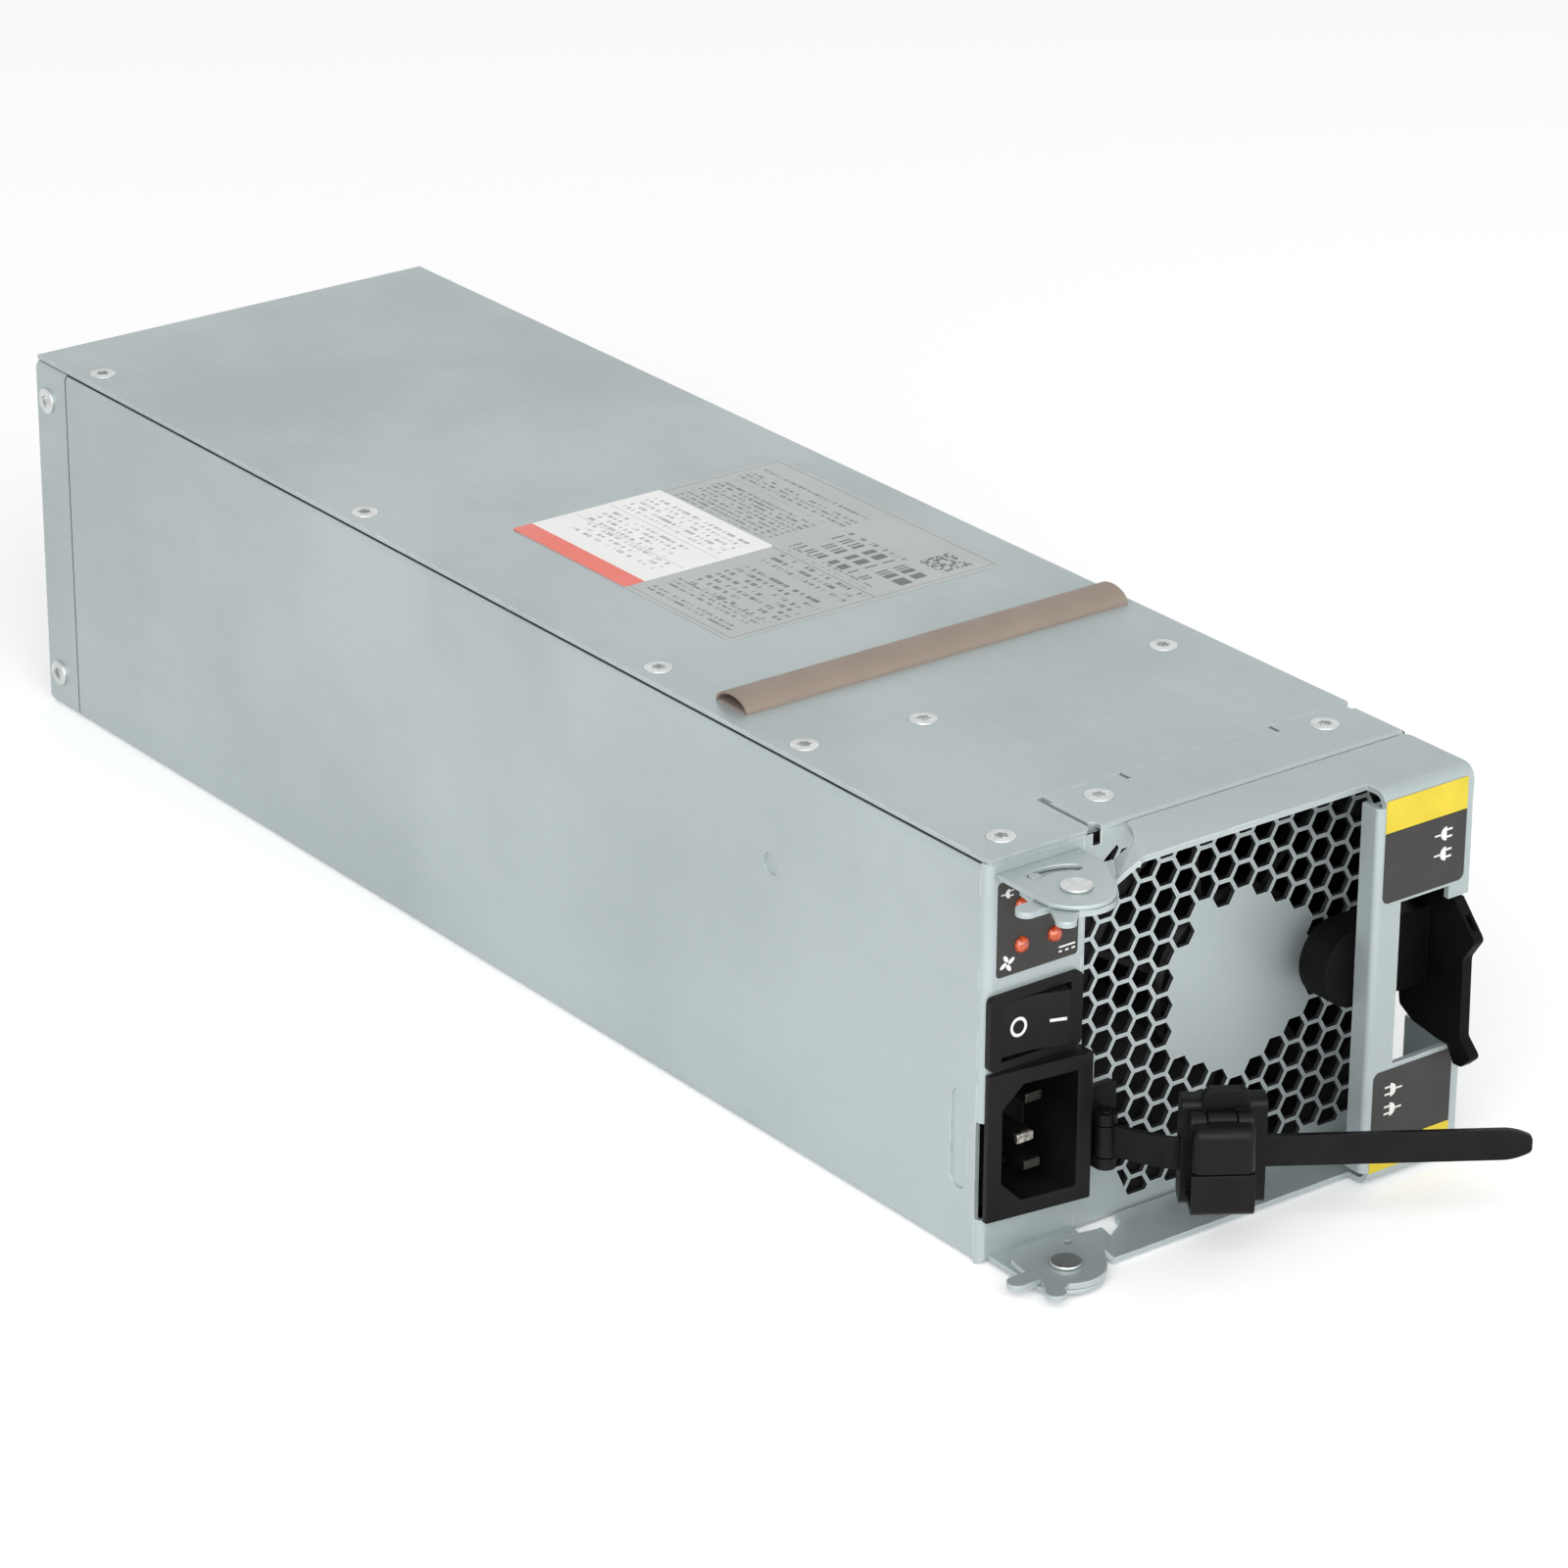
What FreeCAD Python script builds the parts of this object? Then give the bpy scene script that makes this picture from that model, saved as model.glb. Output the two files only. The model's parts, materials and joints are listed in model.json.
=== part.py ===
import FreeCAD, Part
import math
import os
import re
import Sketcher

# Hot swap server power supply with its own fans, in millimetres.
# X runs across the front, Y from the front face to the rear, Z up from the underside.
# The origin is the centre of the underside.

# Driving dimensions: each is written once.
SIZES = {
    # sheet metal case
    "body_width": 104.5,
    "body_height": 84.3,
    "body_length": 340.8,
    "sheet": 1.0,
    "bend": 2.0,
    "fit": 0.3,
    "slip": 0.1,
    "screw_fit": 0.05,
    "pan_depth": 2.0,
    "column_width": 23.0,
    "tray_flange": 8.0,
    "rear_depth": 12.4,
    "lap": 9.0,
    "dent_depth": 0.4,
    "dent_radius": 2.5,
    "dent_back": 65.9,
    "dent_height": 59.8,
    "slot_dent_back": 7.0,
    "slot_dent_low": 14.0,
    "slot_dent_high": 35.0,
    "notch_low": 9.5,
    "notch_high": 30.0,
    "notch_depth": 1.8,
    # top sheets
    "flange_depth": 16.9,
    "flange_start": 26.0,
    "flange_side": 1.5,
    "cover_inset": 0.5,
    "cover_slit": 1.0,
    "slit_width": 1.0,
    "slit_length": 3.0,
    # screws
    "head_radius": 3.0,
    "head_depth": 1.0,
    "neck_radius": 2.0,
    "shank_radius": 1.5,
    "shank_length": 3.0,
    # hexagon grille
    "hex_pitch": 5.68,
    "hex_flats": 4.85,
    "hex_column_offset": 28.72,
    "hex_row_height": 56.0,
    "grille_side": 3.0,
    "grille_low": 4.0,
    "grille_left": 0.7,
    # fans
    "fan_floor": 2.2,
    "fan_depth": 38.0,
    "fan_flange": 4.0,
    "fan_wall": 1.5,
    "fan_gap": 0.5,
    "fan_screw_inset": 4.25,
    "fan_screw_radius": 2.15,
    "hub_radius": 19.0,
    "hub_wall": 1.5,
    "hub_depth": 24.0,
    "blade_gap": 1.0,
    "blade_depth": 20.0,
    "blade_thickness": 1.4,
    "axle_radius": 1.5,
    "axle_fit": 0.05,
    "boss_radius": 5.0,
    "stator_radius": 18.0,
    "stator_depth": 3.0,
    "stay_width": 4.0,
    # mains inlet
    "inlet_offset": 11.8,
    "inlet_height": 25.0,
    "inlet_bezel_width": 23.0,
    "inlet_bezel_height": 31.0,
    "inlet_thin": 1.3,
    "inlet_thick": 4.4,
    "inlet_body_width": 20.0,
    "inlet_body_height": 27.0,
    "inlet_depth": 18.0,
    "cavity_width": 16.4,
    "cavity_height": 24.4,
    "cavity_depth": 12.0,
    "cavity_chamfer": 4.5,
    "pin_width": 4.0,
    "pin_thickness": 2.0,
    "pin_spacing": 14.2,
    "live_pin_shift": 1.0,
    "earth_pin_shift": -2.0,
    "live_pin_setback": 0.5,
    "earth_pin_proud": 1.0,
    "tab_length": 8.0,
    # mains switch
    "switch_offset": 11.35,
    "switch_height": 48.9,
    "switch_bezel_width": 22.3,
    "switch_bezel_height": 15.2,
    "switch_bezel_proud": 1.5,
    "switch_body_depth": 17.0,
    "switch_hole_width": 19.4,
    "switch_hole_height": 13.0,
    "rocker_width": 16.0,
    "rocker_height": 11.6,
    "rocker_proud": 3.2,
    "rocker_dip": 1.1,
    "rocker_depth": 5.0,
    "rocker_axle": 1.2,
    # status lamps
    "lamp_radius": 1.5,
    "lamp_column": 8.35,
    "lamp_pitch_x": 7.9,
    "lamp_row_rise": 0.425,
    "lamp_board_gap": 2.0,
    "lamp_board_drop": 3.8,
    "lamp_pitch_z": 8.15,
    "lamp_length": 5.0,
    "board_thickness": 1.6,
    # handle pivots
    "pivot_offset": 10.2,
    "pivot_reach": 13.2,
    "ear_sheet": 1.0,
    "ear_radius": 8.0,
    "ear_width": 20.0,
    "ear_offset": 2.0,
    "upper_ear_height": 80.3,
    "lower_ear_height": 0.9,
    "rivet_radius": 2.0,
    "rivet_head_radius": 3.1,
    "rivet_head": 0.7,
    "guide_radius": 9.04,
    "guide_width": 2.8,
    "guide_pin_radius": 1.2,
    "guide_pin_angle": 108.0,
    "handle_travel": 55.0,
    # handle
    "handle_sheet": 1.2,
    "cam_radius": 7.8,
    "cam_back_radius": 10.4,
    "tooth_reach": 13.7,
    "tooth_half_width": 2.0,
    "second_tooth_reach": 9.3,
    "second_tooth_shift": 8.4,
    "joggle_width": 9.0,
    "lip": 0.6,
    "arm_gap": 0.3,
    "upper_joggle": 3.8,
    "lower_joggle": 1.7,
    "arm_front": 14.5,
    "arm_back": 0.8,
    "arm_step": 4.4,
    "arm_step_offset": 32.5,
    "handle_reach": 20.0,
    "plate_offset": 79.0,
    "plate_end": 103.2,
    "plate_bend": 3.0,
    "left_return": 5.0,
    "left_roll": 1.5,
    "right_return": 14.4,
    "window_offset": 85.5,
    "window_low": 25.7,
    "window_high": 60.1,
    "tongue_drop": 2.8,
    "tongue_offset": 98.0,
    # finger latch
    "latch_wall": 2.5,
    "latch_offset": 99.4,
    "knob_height": 45.0,
    "knob_radius": 8.2,
    "knob_offset": 72.8,
    "knob_front": 13.5,
    "knob_back": 6.0,
    # cord retention
    "anchor_offset": 24.2,
    "anchor_width": 7.2,
    "anchor_low": 15.0,
    "anchor_high": 31.0,
    "anchor_plate": 1.6,
    "strap_pin_offset": 27.0,
    "strap_pin_reach": 4.0,
    "strap_pin_radius": 1.1,
    "lug_radius": 2.2,
    "strap_height": 20.8,
    "strap_width": 6.4,
    "strap_thickness": 1.3,
    "strap_angle": -33.2,
    "strap_length": 77.6,
    "strap_root": 8.83,
    "strap_tip": 3.6,
    "strap_tip_half": 1.6,
    "clamp_offset": 13.1,
    "clamp_length": 16.3,
    "clamp_low": 10.9,
    "clamp_high": 32.8,
    "clamp_wall": 1.5,
    "clamp_reach": 9.0,
    "channel_depth": 5.5,
    "gate_pin_radius": 1.0,
    "band_start": 1.1,
    "band_width": 12.0,
    "tongue_start": 3.8,
    "tongue_width": 9.0,
    "tongue_height": 5.8,
    # inside
    "board_height": 8.0,
    "board_front": 84.0,
    "insulator_height": 1.0,
    "insulator_thickness": 0.4,
    "wire_radius": 0.9,
    # output connector
    "control_place": 285.0,
    "control_gap": 6.0,
    "output_width": 62.0,
    "output_height": 12.0,
    "output_depth": 22.0,
    "output_wall": 2.0,
    # gasket on the cover
    "gasket_front": 81.0,
    "gasket_width": 10.0,
    "gasket_height": 3.0,
    "gasket_inset": 5.3,
}

# Places that follow from the driving dimensions.
LAYOUT = {
    "left": "-body_width / 2",
    "right": "body_width / 2",
    "front": "-body_length / 2",
    "rear": "body_length / 2",
    "cover_seat": "body_height - sheet",
    "lamp_board_low": "switch_height + switch_bezel_height / 2 + lamp_board_gap",
    "lamp_board_high": "cover_seat - lamp_board_drop",
    "lamp_row": "(lamp_board_low + lamp_board_high - lamp_pitch_z) / 2 + lamp_row_rise",
    "column_edge": "-body_width / 2 + column_width",
    "control_front": "min(-body_length / 2 + control_place; body_length / 2 - output_depth - control_gap)",
    "tray_front": "-body_length / 2 + pan_depth",
    "tray_rear": "body_length / 2 - rear_depth",
    "pivot_x": "-body_width / 2 + pivot_offset",
    "pivot_y": "-body_length / 2 - pivot_reach",
    "upper_arm": "body_height - arm_gap - handle_sheet",
    "lower_arm": "arm_gap",
    "upper_cam": "upper_ear_height - slip - handle_sheet",
    "lower_cam": "lower_ear_height + ear_sheet + slip",
    "fan_size": "min(body_height - 2 * sheet - slip - fan_floor; body_width - column_width - flange_side)",
    "fan_screw_pitch": "fan_size - 2 * fan_screw_inset",
    "fan_x": "body_width / 2 - flange_side - fan_size / 2",
    "fan_height": "(body_height - 2 * sheet - slip + fan_floor) / 2",
    "front_fan": "-body_length / 2 + sheet + fit",
    "rear_fan": "-body_length / 2 + sheet + fit + fan_depth + fan_gap",
    "inlet_x": "-body_width / 2 + inlet_offset",
    "switch_x": "-body_width / 2 + switch_offset",
    "latch_x": "-body_width / 2 + latch_offset",
    "plate_front": "-body_length / 2 - handle_reach",
    "strap_x": "-body_width / 2 + strap_pin_offset",
    "strap_y": "-body_length / 2 - strap_pin_reach",
    "board_top": "board_height + board_thickness",
}

SHEETS = {}
for alias in SIZES:
    SHEETS[alias] = "Sizes." + alias
for alias in LAYOUT:
    SHEETS[alias] = "Layout." + alias

doc = FreeCAD.newDocument("power_supply")
parts = []


def bound(text):
    """A formula with every alias led by the name of its sheet."""
    return re.sub(r"[a-z][a-z_]*", lambda word: SHEETS.get(word.group(), word.group()), text)


def write_sheet(name, rows):
    """A spreadsheet with one aliased cell per row."""
    sheet = doc.addObject("Spreadsheet::Sheet", name)
    for line, (alias, content) in enumerate(rows.items(), 1):
        sheet.set("A%d" % line, alias)
        sheet.set("B%d" % line, content)
        sheet.setAlias("B%d" % line, alias)
    doc.recompute()
    return sheet


write_sheet("Sizes", {alias: str(size) for alias, size in SIZES.items()})
write_sheet("Layout", {alias: "=" + bound(text) for alias, text in LAYOUT.items()})
scratch = doc.addObject("Spreadsheet::Sheet", "Scratch")


def number(text):
    """The value of a formula of the sheets."""
    scratch.set("A1", "=" + bound(text))
    scratch.recompute()
    return float(scratch.get("A1"))


def vector(x, y, z):
    """A point or direction from three formulas."""
    return FreeCAD.Vector(number(x), number(y), number(z))


# Building blocks.

AXIS_TURN = {
    "x": FreeCAD.Rotation(FreeCAD.Vector(0, 1, 0), 90),
    "y": FreeCAD.Rotation(FreeCAD.Vector(1, 0, 0), -90),
    "z": FreeCAD.Rotation(),
}


def move(item, x, y, z):
    """Binds an item's position."""
    item.setExpression("Placement.Base.x", bound(x))
    item.setExpression("Placement.Base.y", bound(y))
    item.setExpression("Placement.Base.z", bound(z))
    return item


def block(name, x, y, z):
    """A box from its low and high limit along each axis."""
    item = doc.addObject("Part::Box", name)
    for side, (low, high) in (("Length", x), ("Width", y), ("Height", z)):
        item.setExpression(side, bound("(%s) - (%s)" % (high, low)))
    return move(item, x[0], y[0], z[0])


def rod(name, axis, start, radius, length):
    """A cylinder along one axis from the centre of its first end."""
    item = doc.addObject("Part::Cylinder", name)
    item.setExpression("Radius", bound(radius))
    item.setExpression("Height", bound(length))
    item.Placement = FreeCAD.Placement(FreeCAD.Vector(), AXIS_TURN[axis])
    return move(item, *start)


def taper(name, axis, start, radius, end_radius, length):
    """A cone along one axis from the centre of its first end."""
    item = doc.addObject("Part::Cone", name)
    item.setExpression("Radius1", bound(radius))
    item.setExpression("Radius2", bound(end_radius))
    item.setExpression("Height", bound(length))
    item.Placement = FreeCAD.Placement(FreeCAD.Vector(), AXIS_TURN[axis])
    return move(item, *start)


def sector(name, centre, radius, height, start_angle, sweep):
    """A slice of an upright cylinder, its angles counted from +X."""
    item = doc.addObject("Part::Cylinder", name)
    item.setExpression("Radius", bound(radius))
    item.setExpression("Height", bound(height))
    item.setExpression("Angle", bound(sweep))
    turn = FreeCAD.Rotation(FreeCAD.Vector(0, 0, 1), number(start_angle))
    item.Placement = FreeCAD.Placement(FreeCAD.Vector(), turn)
    return move(item, *centre)


def fuse(name, *items):
    """One solid from several that touch."""
    item = doc.addObject("Part::MultiFuse", name)
    item.Shapes = list(items)
    item.Refine = True
    return item


def cut(name, base, *tools):
    """The base less the tools."""
    item = doc.addObject("Part::Cut", name)
    item.Base = base
    item.Tool = tools[0] if len(tools) == 1 else fuse(name + "_tools", *tools)
    return item


def common(name, base, tool):
    """What two solids share."""
    item = doc.addObject("Part::Common", name)
    item.Base = base
    item.Tool = tool
    return item


def group(name, *items):
    """Several solids kept apart in one piece."""
    item = doc.addObject("Part::Compound", name)
    item.Links = list(items)
    return item


def part(name, item):
    """Names a finished sub-part."""
    item.Label = name
    parts.append(item)
    return item


def edges_at(item, axis, **places):
    """Numbers of the straight edges along one axis whose middles have the given coordinates."""
    doc.recompute()
    wanted = {letter: number(text) for letter, text in places.items()}
    direction = AXIS_TURN[axis].multVec(FreeCAD.Vector(0, 0, 1))
    found = []
    for index, edge in enumerate(item.Shape.Edges, 1):
        if not isinstance(edge.Curve, Part.Line):
            continue
        if abs(edge.Curve.Direction.dot(direction)) < 0.999:
            continue
        middle = edge.CenterOfMass
        if all(abs(getattr(middle, letter) - place) < 0.02 for letter, place in wanted.items()):
            found.append(index)
    return found


def rounded(name, base, radius, *picks):
    """The base with the picked edges filleted; a pick is an axis and the edge's coordinates."""
    item = doc.addObject("Part::Fillet", name)
    item.Base = base
    edges = set()
    for axis, places in picks:
        edges.update(edges_at(base, axis, **places))
    size = number(radius)
    item.Edges = [(index, size, size) for index in sorted(edges)]
    return item


PLANES = {"XY": "XY_Plane", "XZ": "XZ_Plane", "YZ": "YZ_Plane"}


def origin_plane(body, plane):
    """One of a body's own origin planes."""
    for feature in body.Origin.OriginFeatures:
        if feature.Role == PLANES[plane]:
            return feature


def outline(body, plane, level, corners):
    """A closed sketch whose corners are bound to formulas, at a level along the plane's axis."""
    sketch = body.newObject("Sketcher::SketchObject", body.Name + "_outline")
    sketch.AttachmentSupport = [(origin_plane(body, plane), "")]
    sketch.MapMode = "FlatFace"
    away = "-(%s)" % level if plane == "XZ" else level
    sketch.setExpression("AttachmentOffset.Base.z", bound(away))
    count = len(corners)
    ring = [FreeCAD.Vector(number(corner[0]), number(corner[1]), 0) for corner in corners]
    for index in range(count):
        sketch.addGeometry(Part.LineSegment(ring[index], ring[(index + 1) % count]), False)
    for index in range(count):
        sketch.addConstraint(Sketcher.Constraint("Coincident", index, 2, (index + 1) % count, 1))
    for index, corner in enumerate(corners):
        for kind, text, place in (("DistanceX", corner[0], ring[index].x),
                                  ("DistanceY", corner[1], ring[index].y)):
            added = sketch.addConstraint(Sketcher.Constraint(kind, -1, 1, index, 1, place))
            sketch.setExpression("Constraints[%d]" % added, bound(text))
    return sketch


def prism(name, plane, level, corners, depth):
    """A body padded from an outline; a corner with a third formula is rounded to that radius."""
    body = doc.addObject("PartDesign::Body", name)
    pad = body.newObject("PartDesign::Pad", name + "_pad")
    pad.Profile = outline(body, plane, level, corners)
    pad.setExpression("Length", bound(depth))
    pad.Reversed = plane == "XZ"
    doc.recompute()
    feature = pad
    letters = plane.lower()
    axis = {"XY": "z", "XZ": "y", "YZ": "x"}[plane]
    for radius in sorted({corner[2] for corner in corners if len(corner) > 2}):
        edges = []
        for corner in corners:
            if len(corner) > 2 and corner[2] == radius:
                places = {letters[0]: corner[0], letters[1]: corner[1]}
                edges += edges_at(feature, axis, **places)
        fillet = body.newObject("PartDesign::Fillet", name + "_fillet")
        fillet.Base = (feature, ["Edge%d" % index for index in edges])
        fillet.setExpression("Radius", bound(radius))
        feature = fillet
        doc.recompute()
    return body


# Case.

def hollow_case(name, y, top):
    """A square tube of sheet along Y with rounded long edges."""
    corners = [("y", {"x": side, "z": level}) for side in ("left", "right") for level in ("0", top)]
    skin = block(name + "_skin", ("left", "right"), y, ("0", top))
    skin = rounded(name + "_bends", skin, "bend", *corners)
    space = block(name + "_space", ("left + sheet", "right - sheet"), (y[0] + " - 1", y[1] + " + 1"),
                  ("sheet", top + " - sheet"))
    inner = [("y", {"x": side, "z": level}) for side in ("left + sheet", "right - sheet")
             for level in ("sheet", top + " - sheet")]
    return skin, rounded(name + "_inner_bends", space, "bend - sheet", *inner)


def side_tab(side):
    """A lap of the side wall that reaches inside the rear panel's flange."""
    wall = {"left": ("left + sheet", "left + 2 * sheet"),
            "right": ("right - 2 * sheet", "right - sheet")}[side]
    return block("tab_" + side, wall, ("tray_rear - lap", "rear - sheet - slip"),
                 ("bend + sheet", "cover_seat - 3 * sheet"))


def chassis_tray():
    """Base, side walls and the inward flanges that the cover lies on."""
    y = ("tray_front", "tray_rear")
    skin, space = hollow_case("tray", y, "cover_seat")
    mouth = block("tray_mouth", ("left + tray_flange", "right - tray_flange"),
                  (y[0] + " - 1", y[1] + " + 1"), ("cover_seat - 2 * sheet", "cover_seat + 1"))
    dot = rod("tray_dot", "x", ("left - 1", "front + dent_back", "dent_height"), "dent_radius",
              "1 + dent_depth")
    slot = block("tray_slot", ("left - 1", "left + dent_depth"),
                 ("front + slot_dent_back - dent_radius", "front + slot_dent_back + dent_radius"),
                 ("slot_dent_low + dent_radius", "slot_dent_high - dent_radius"))
    ends = [rod("tray_slot_end", "x", ("left - 1", "front + slot_dent_back", height), "dent_radius",
                "1 + dent_depth")
            for height in ("slot_dent_low + dent_radius", "slot_dent_high - dent_radius")]
    walls = fuse("tray_walls", cut("tray_shell", skin, space, mouth), side_tab("left"),
                 side_tab("right"))
    holes = screw_holes("tray", "cover_seat - sheet - 1", "sheet + 2", COVER_SCREWS[:5])
    return part("chassis_tray", cut("tray", walls, dot, slot, *ends, *holes, *side_screw_holes("tray")))


# Places of the flush screws: the first five hold the left side, the rest the two fans.
COVER_SCREWS = [
    ("left + 5.8", "rear - 19.5"),
    ("left + 5.8", "front + 0.633 * body_length"),
    ("left + 5.8", "front + 0.325 * body_length"),
    ("left + 5.8", "front + 63.2"),
    ("left + 9.3", "front + 7.7"),
    ("left + 35.9", "front + 11.3"),
    ("right - 11.5", "front + 11.5"),
    ("left + 32", "front + 59.6"),
    ("right - 10.8", "front + 60.4"),
]
SIDE_SCREWS = [("left", "74.8"), ("left", "8.5"), ("right", "74.8"), ("right", "8.5")]


def screw_holes(name, low, length, places):
    """Plain holes for the shanks of cover screws."""
    return [rod(name + "_screw_hole", "z", (x, y, low), "shank_radius + screw_fit", length)
            for x, y in places]


def countersinks(name, places):
    """Conical seats in the top sheets, with the hole for the neck below."""
    return [taper(name + "_countersink", "z", (x, y, "cover_seat"), "neck_radius + screw_fit",
                  "head_radius + screw_fit", "head_depth") for x, y in places]


def side_screw_start(side, reach):
    """X of a side screw's low end when it runs reach into the case."""
    return {"left": "left", "right": "right - (%s)" % reach}[side]


def side_screw_holes(name):
    """Holes for the rear panel's screws through both flanges."""
    return [rod(name + "_side_hole", "x",
                (side_screw_start(side, "5 * sheet"), "rear - rear_depth / 2 + 1.4", height),
                "shank_radius + screw_fit", "5 * sheet") for side, height in SIDE_SCREWS]


def cover_screws():
    """Flush countersunk screws of the top sheets."""
    screws = []
    for x, y in COVER_SCREWS:
        shank = rod("screw_shank", "z", (x, y, "cover_seat - shank_length"), "shank_radius",
                    "shank_length")
        head = taper("screw_head", "z", (x, y, "cover_seat"), "neck_radius", "head_radius", "head_depth")
        screws.append(fuse("cover_screw", shank, head))
    return part("cover_screws", group("all_cover_screws", *screws))


def rear_panel_screws():
    """Low pan head screws through the rear panel's side flanges."""
    screws = []
    for side, height in SIDE_SCREWS:
        y = "rear - rear_depth / 2 + 1.4"
        shank_start = {"left": "left", "right": "right - 3 * sheet"}[side]
        head_start = {"left": "left - rivet_head", "right": "right"}[side]
        shank = rod("side_shank", "x", (shank_start, y, height), "shank_radius", "3 * sheet")
        head = rod("side_head", "x", (head_start, y, height), "head_radius", "rivet_head")
        screws.append(fuse("side_screw", shank, head))
    return part("rear_panel_screws", group("all_side_screws", *screws))


def front_pan(name, x, outer_edge):
    """Half of the shallow front pan: its sheet and the rounded returns along its free edges."""
    skin = block(name + "_skin", x, ("front", "tray_front"), ("0", "cover_seat"))
    skin = rounded(name + "_bends", skin, "bend - 0.1", ("z", {"x": outer_edge, "y": "front"}),
                   ("x", {"y": "front", "z": "0"}))
    low, high = x
    if outer_edge == "left":
        low = "left + sheet"
        high = x[1] + " + 1"
        edge = low
    else:
        low = x[0] + " - 1"
        high = "right - sheet"
        edge = high
    space = block(name + "_space", (low, high), ("front + sheet", "tray_front + 1"),
                  ("sheet", "cover_seat + 1"))
    space = rounded(name + "_inner_bends", space, "bend - sheet - 0.1",
                    ("z", {"x": edge, "y": "front + sheet"}),
                    ("x", {"y": "front + sheet", "z": "sheet"}))
    return cut(name + "_shell", skin, space)


def front_panel():
    """Left part of the front, with the inlet, the switch, the lamps and the ears."""
    shell = front_pan("panel", ("left", "column_edge"), "left")
    inlet = block("panel_inlet", centred("inlet_x", "inlet_body_width + 2 * slip"),
                  ("front - 1", "tray_front"),
                  centred("inlet_height", "inlet_body_height + 2 * slip"))
    switch = block("panel_switch", centred("switch_x", "switch_hole_width + 2 * slip"),
                   ("front - 1", "tray_front"),
                   centred("switch_height", "switch_hole_height + 2 * slip"))
    notch = block("panel_notch", ("left - 1", "left + notch_depth"), ("front - 1", "tray_front + 1"),
                  ("notch_low", "notch_high"))
    lamps = [rod("panel_lamp", "y", (x, "front - 1", z), "lamp_radius + slip", "tray_front - front")
             for x, z in lamp_places()]
    return part("front_panel", cut("panel", shell, inlet, switch, notch, *lamps))


def centred(middle, width):
    """A range of the given width about its middle."""
    return ("%s - (%s) / 2" % (middle, width), "%s + (%s) / 2" % (middle, width))


def lamp_places():
    """The four lamps stand in two rows of two."""
    return [("left + lamp_column + %d * lamp_pitch_x" % column,
             "lamp_row + %d * lamp_pitch_z" % row) for row in (0, 1) for column in (0, 1)]


def hexagon(centre, flats):
    """A hexagon in the XZ plane with flats at its top and bottom."""
    radius = flats / math.sqrt(3)
    ring = []
    for step in range(7):
        angle = math.radians(60 * step)
        ring.append(centre + FreeCAD.Vector(radius * math.cos(angle), 0, radius * math.sin(angle)))
    return Part.Face(Part.makePolygon(ring))


def grille_field():
    """The area that the hexagons fill: the outline steps round the mains inlet at lower left."""
    corners = [
        ("8", "cover_seat - 3.8"),
        ("grille_left", "cover_seat - 9.5"),
        ("grille_left", "39.7"),
        ("4", "36.5"),
        ("4", "31.8"),
        ("8.5", "31.8"),
        ("8.5", "14"),
        ("13.5", "grille_low"),
        ("right - column_edge - 2.17 * grille_side", "grille_low"),
        ("right - column_edge - grille_side", "grille_low + 3.5"),
        ("right - column_edge - grille_side", "cover_seat - 7.3"),
        ("right - column_edge - 2.17 * grille_side", "cover_seat - 3.8"),
    ]
    ring = [vector("column_edge + " + x, "front", z) for x, z in corners]
    return Part.Face(Part.makePolygon(ring + ring[:1]))


def grille_openings():
    """Prisms of the hexagons: a close packed field round a closed disc before the fan's hub."""
    pitch = number("hex_pitch")
    column_pitch = pitch * math.sqrt(3) / 2
    flats = number("hex_flats")
    start = vector("left + hex_column_offset", "front", "hex_row_height")
    hub = vector("fan_x", "front", "fan_height")
    field = grille_field()
    whole = hexagon(start, flats).Area
    prisms = []
    for column in range(-1, 16):
        for row in range(-12, 7):
            rise = pitch * (row + 0.5 * (column % 2))
            centre = start + FreeCAD.Vector(column_pitch * column, 0, rise)
            if (centre - hub).Length < number("hub_radius") + 0.3:
                continue
            opening = hexagon(centre, flats).common(field)
            if opening.Area < 0.25 * whole:
                continue
            opening.translate(FreeCAD.Vector(0, -1, 0))
            prisms += opening.extrude(FreeCAD.Vector(0, number("sheet") + 2, 0)).Solids
    item = doc.addObject("Part::Feature", "grille_openings")
    item.Shape = Part.makeCompound(prisms)
    return item


def fan_grille():
    """Right part of the front: the sheet with the hexagon field."""
    shell = front_pan("grille", ("column_edge", "right"), "right")
    stem_hole = rod("grille_stem_hole", "y", ("left + anchor_offset + anchor_width / 2", "front - 1", "23"),
                    "rivet_radius + screw_fit", "sheet + 2")
    return part("fan_grille", cut("grille", shell, grille_openings(), stem_hole,
                                  corner_relief("grille")))


def corner_relief(name):
    """The round hole that frees the bend where the top flange starts."""
    return rod(name + "_relief", "z", ("left + flange_start", "front + 1.2", "cover_seat - 2.5"), "bend - 0.5",
               "2.5 + sheet + 1")


def front_top_flange():
    """The front sheet's return over the top, ahead of the cover."""
    skin = block("flange_skin", ("left + flange_start", "right - flange_side"),
                 ("front", "front + flange_depth"), ("cover_seat", "body_height"))
    skin = rounded("flange_bend", skin, "0.9 * sheet", ("x", {"y": "front", "z": "body_height"}))
    slits = [block("flange_slit", centred("left + " + x, "slit_width"),
                   ("front + flange_depth - slit_length", "front + flange_depth + 1"),
                   ("cover_seat - 1", "body_height + 1")) for x in ("26.3", "45.6", "83.4", "102.7")]
    seats = countersinks("flange", COVER_SCREWS[5:7])
    return part("front_top_flange", cut("flange", skin, corner_relief("flange"), *slits, *seats))


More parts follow.
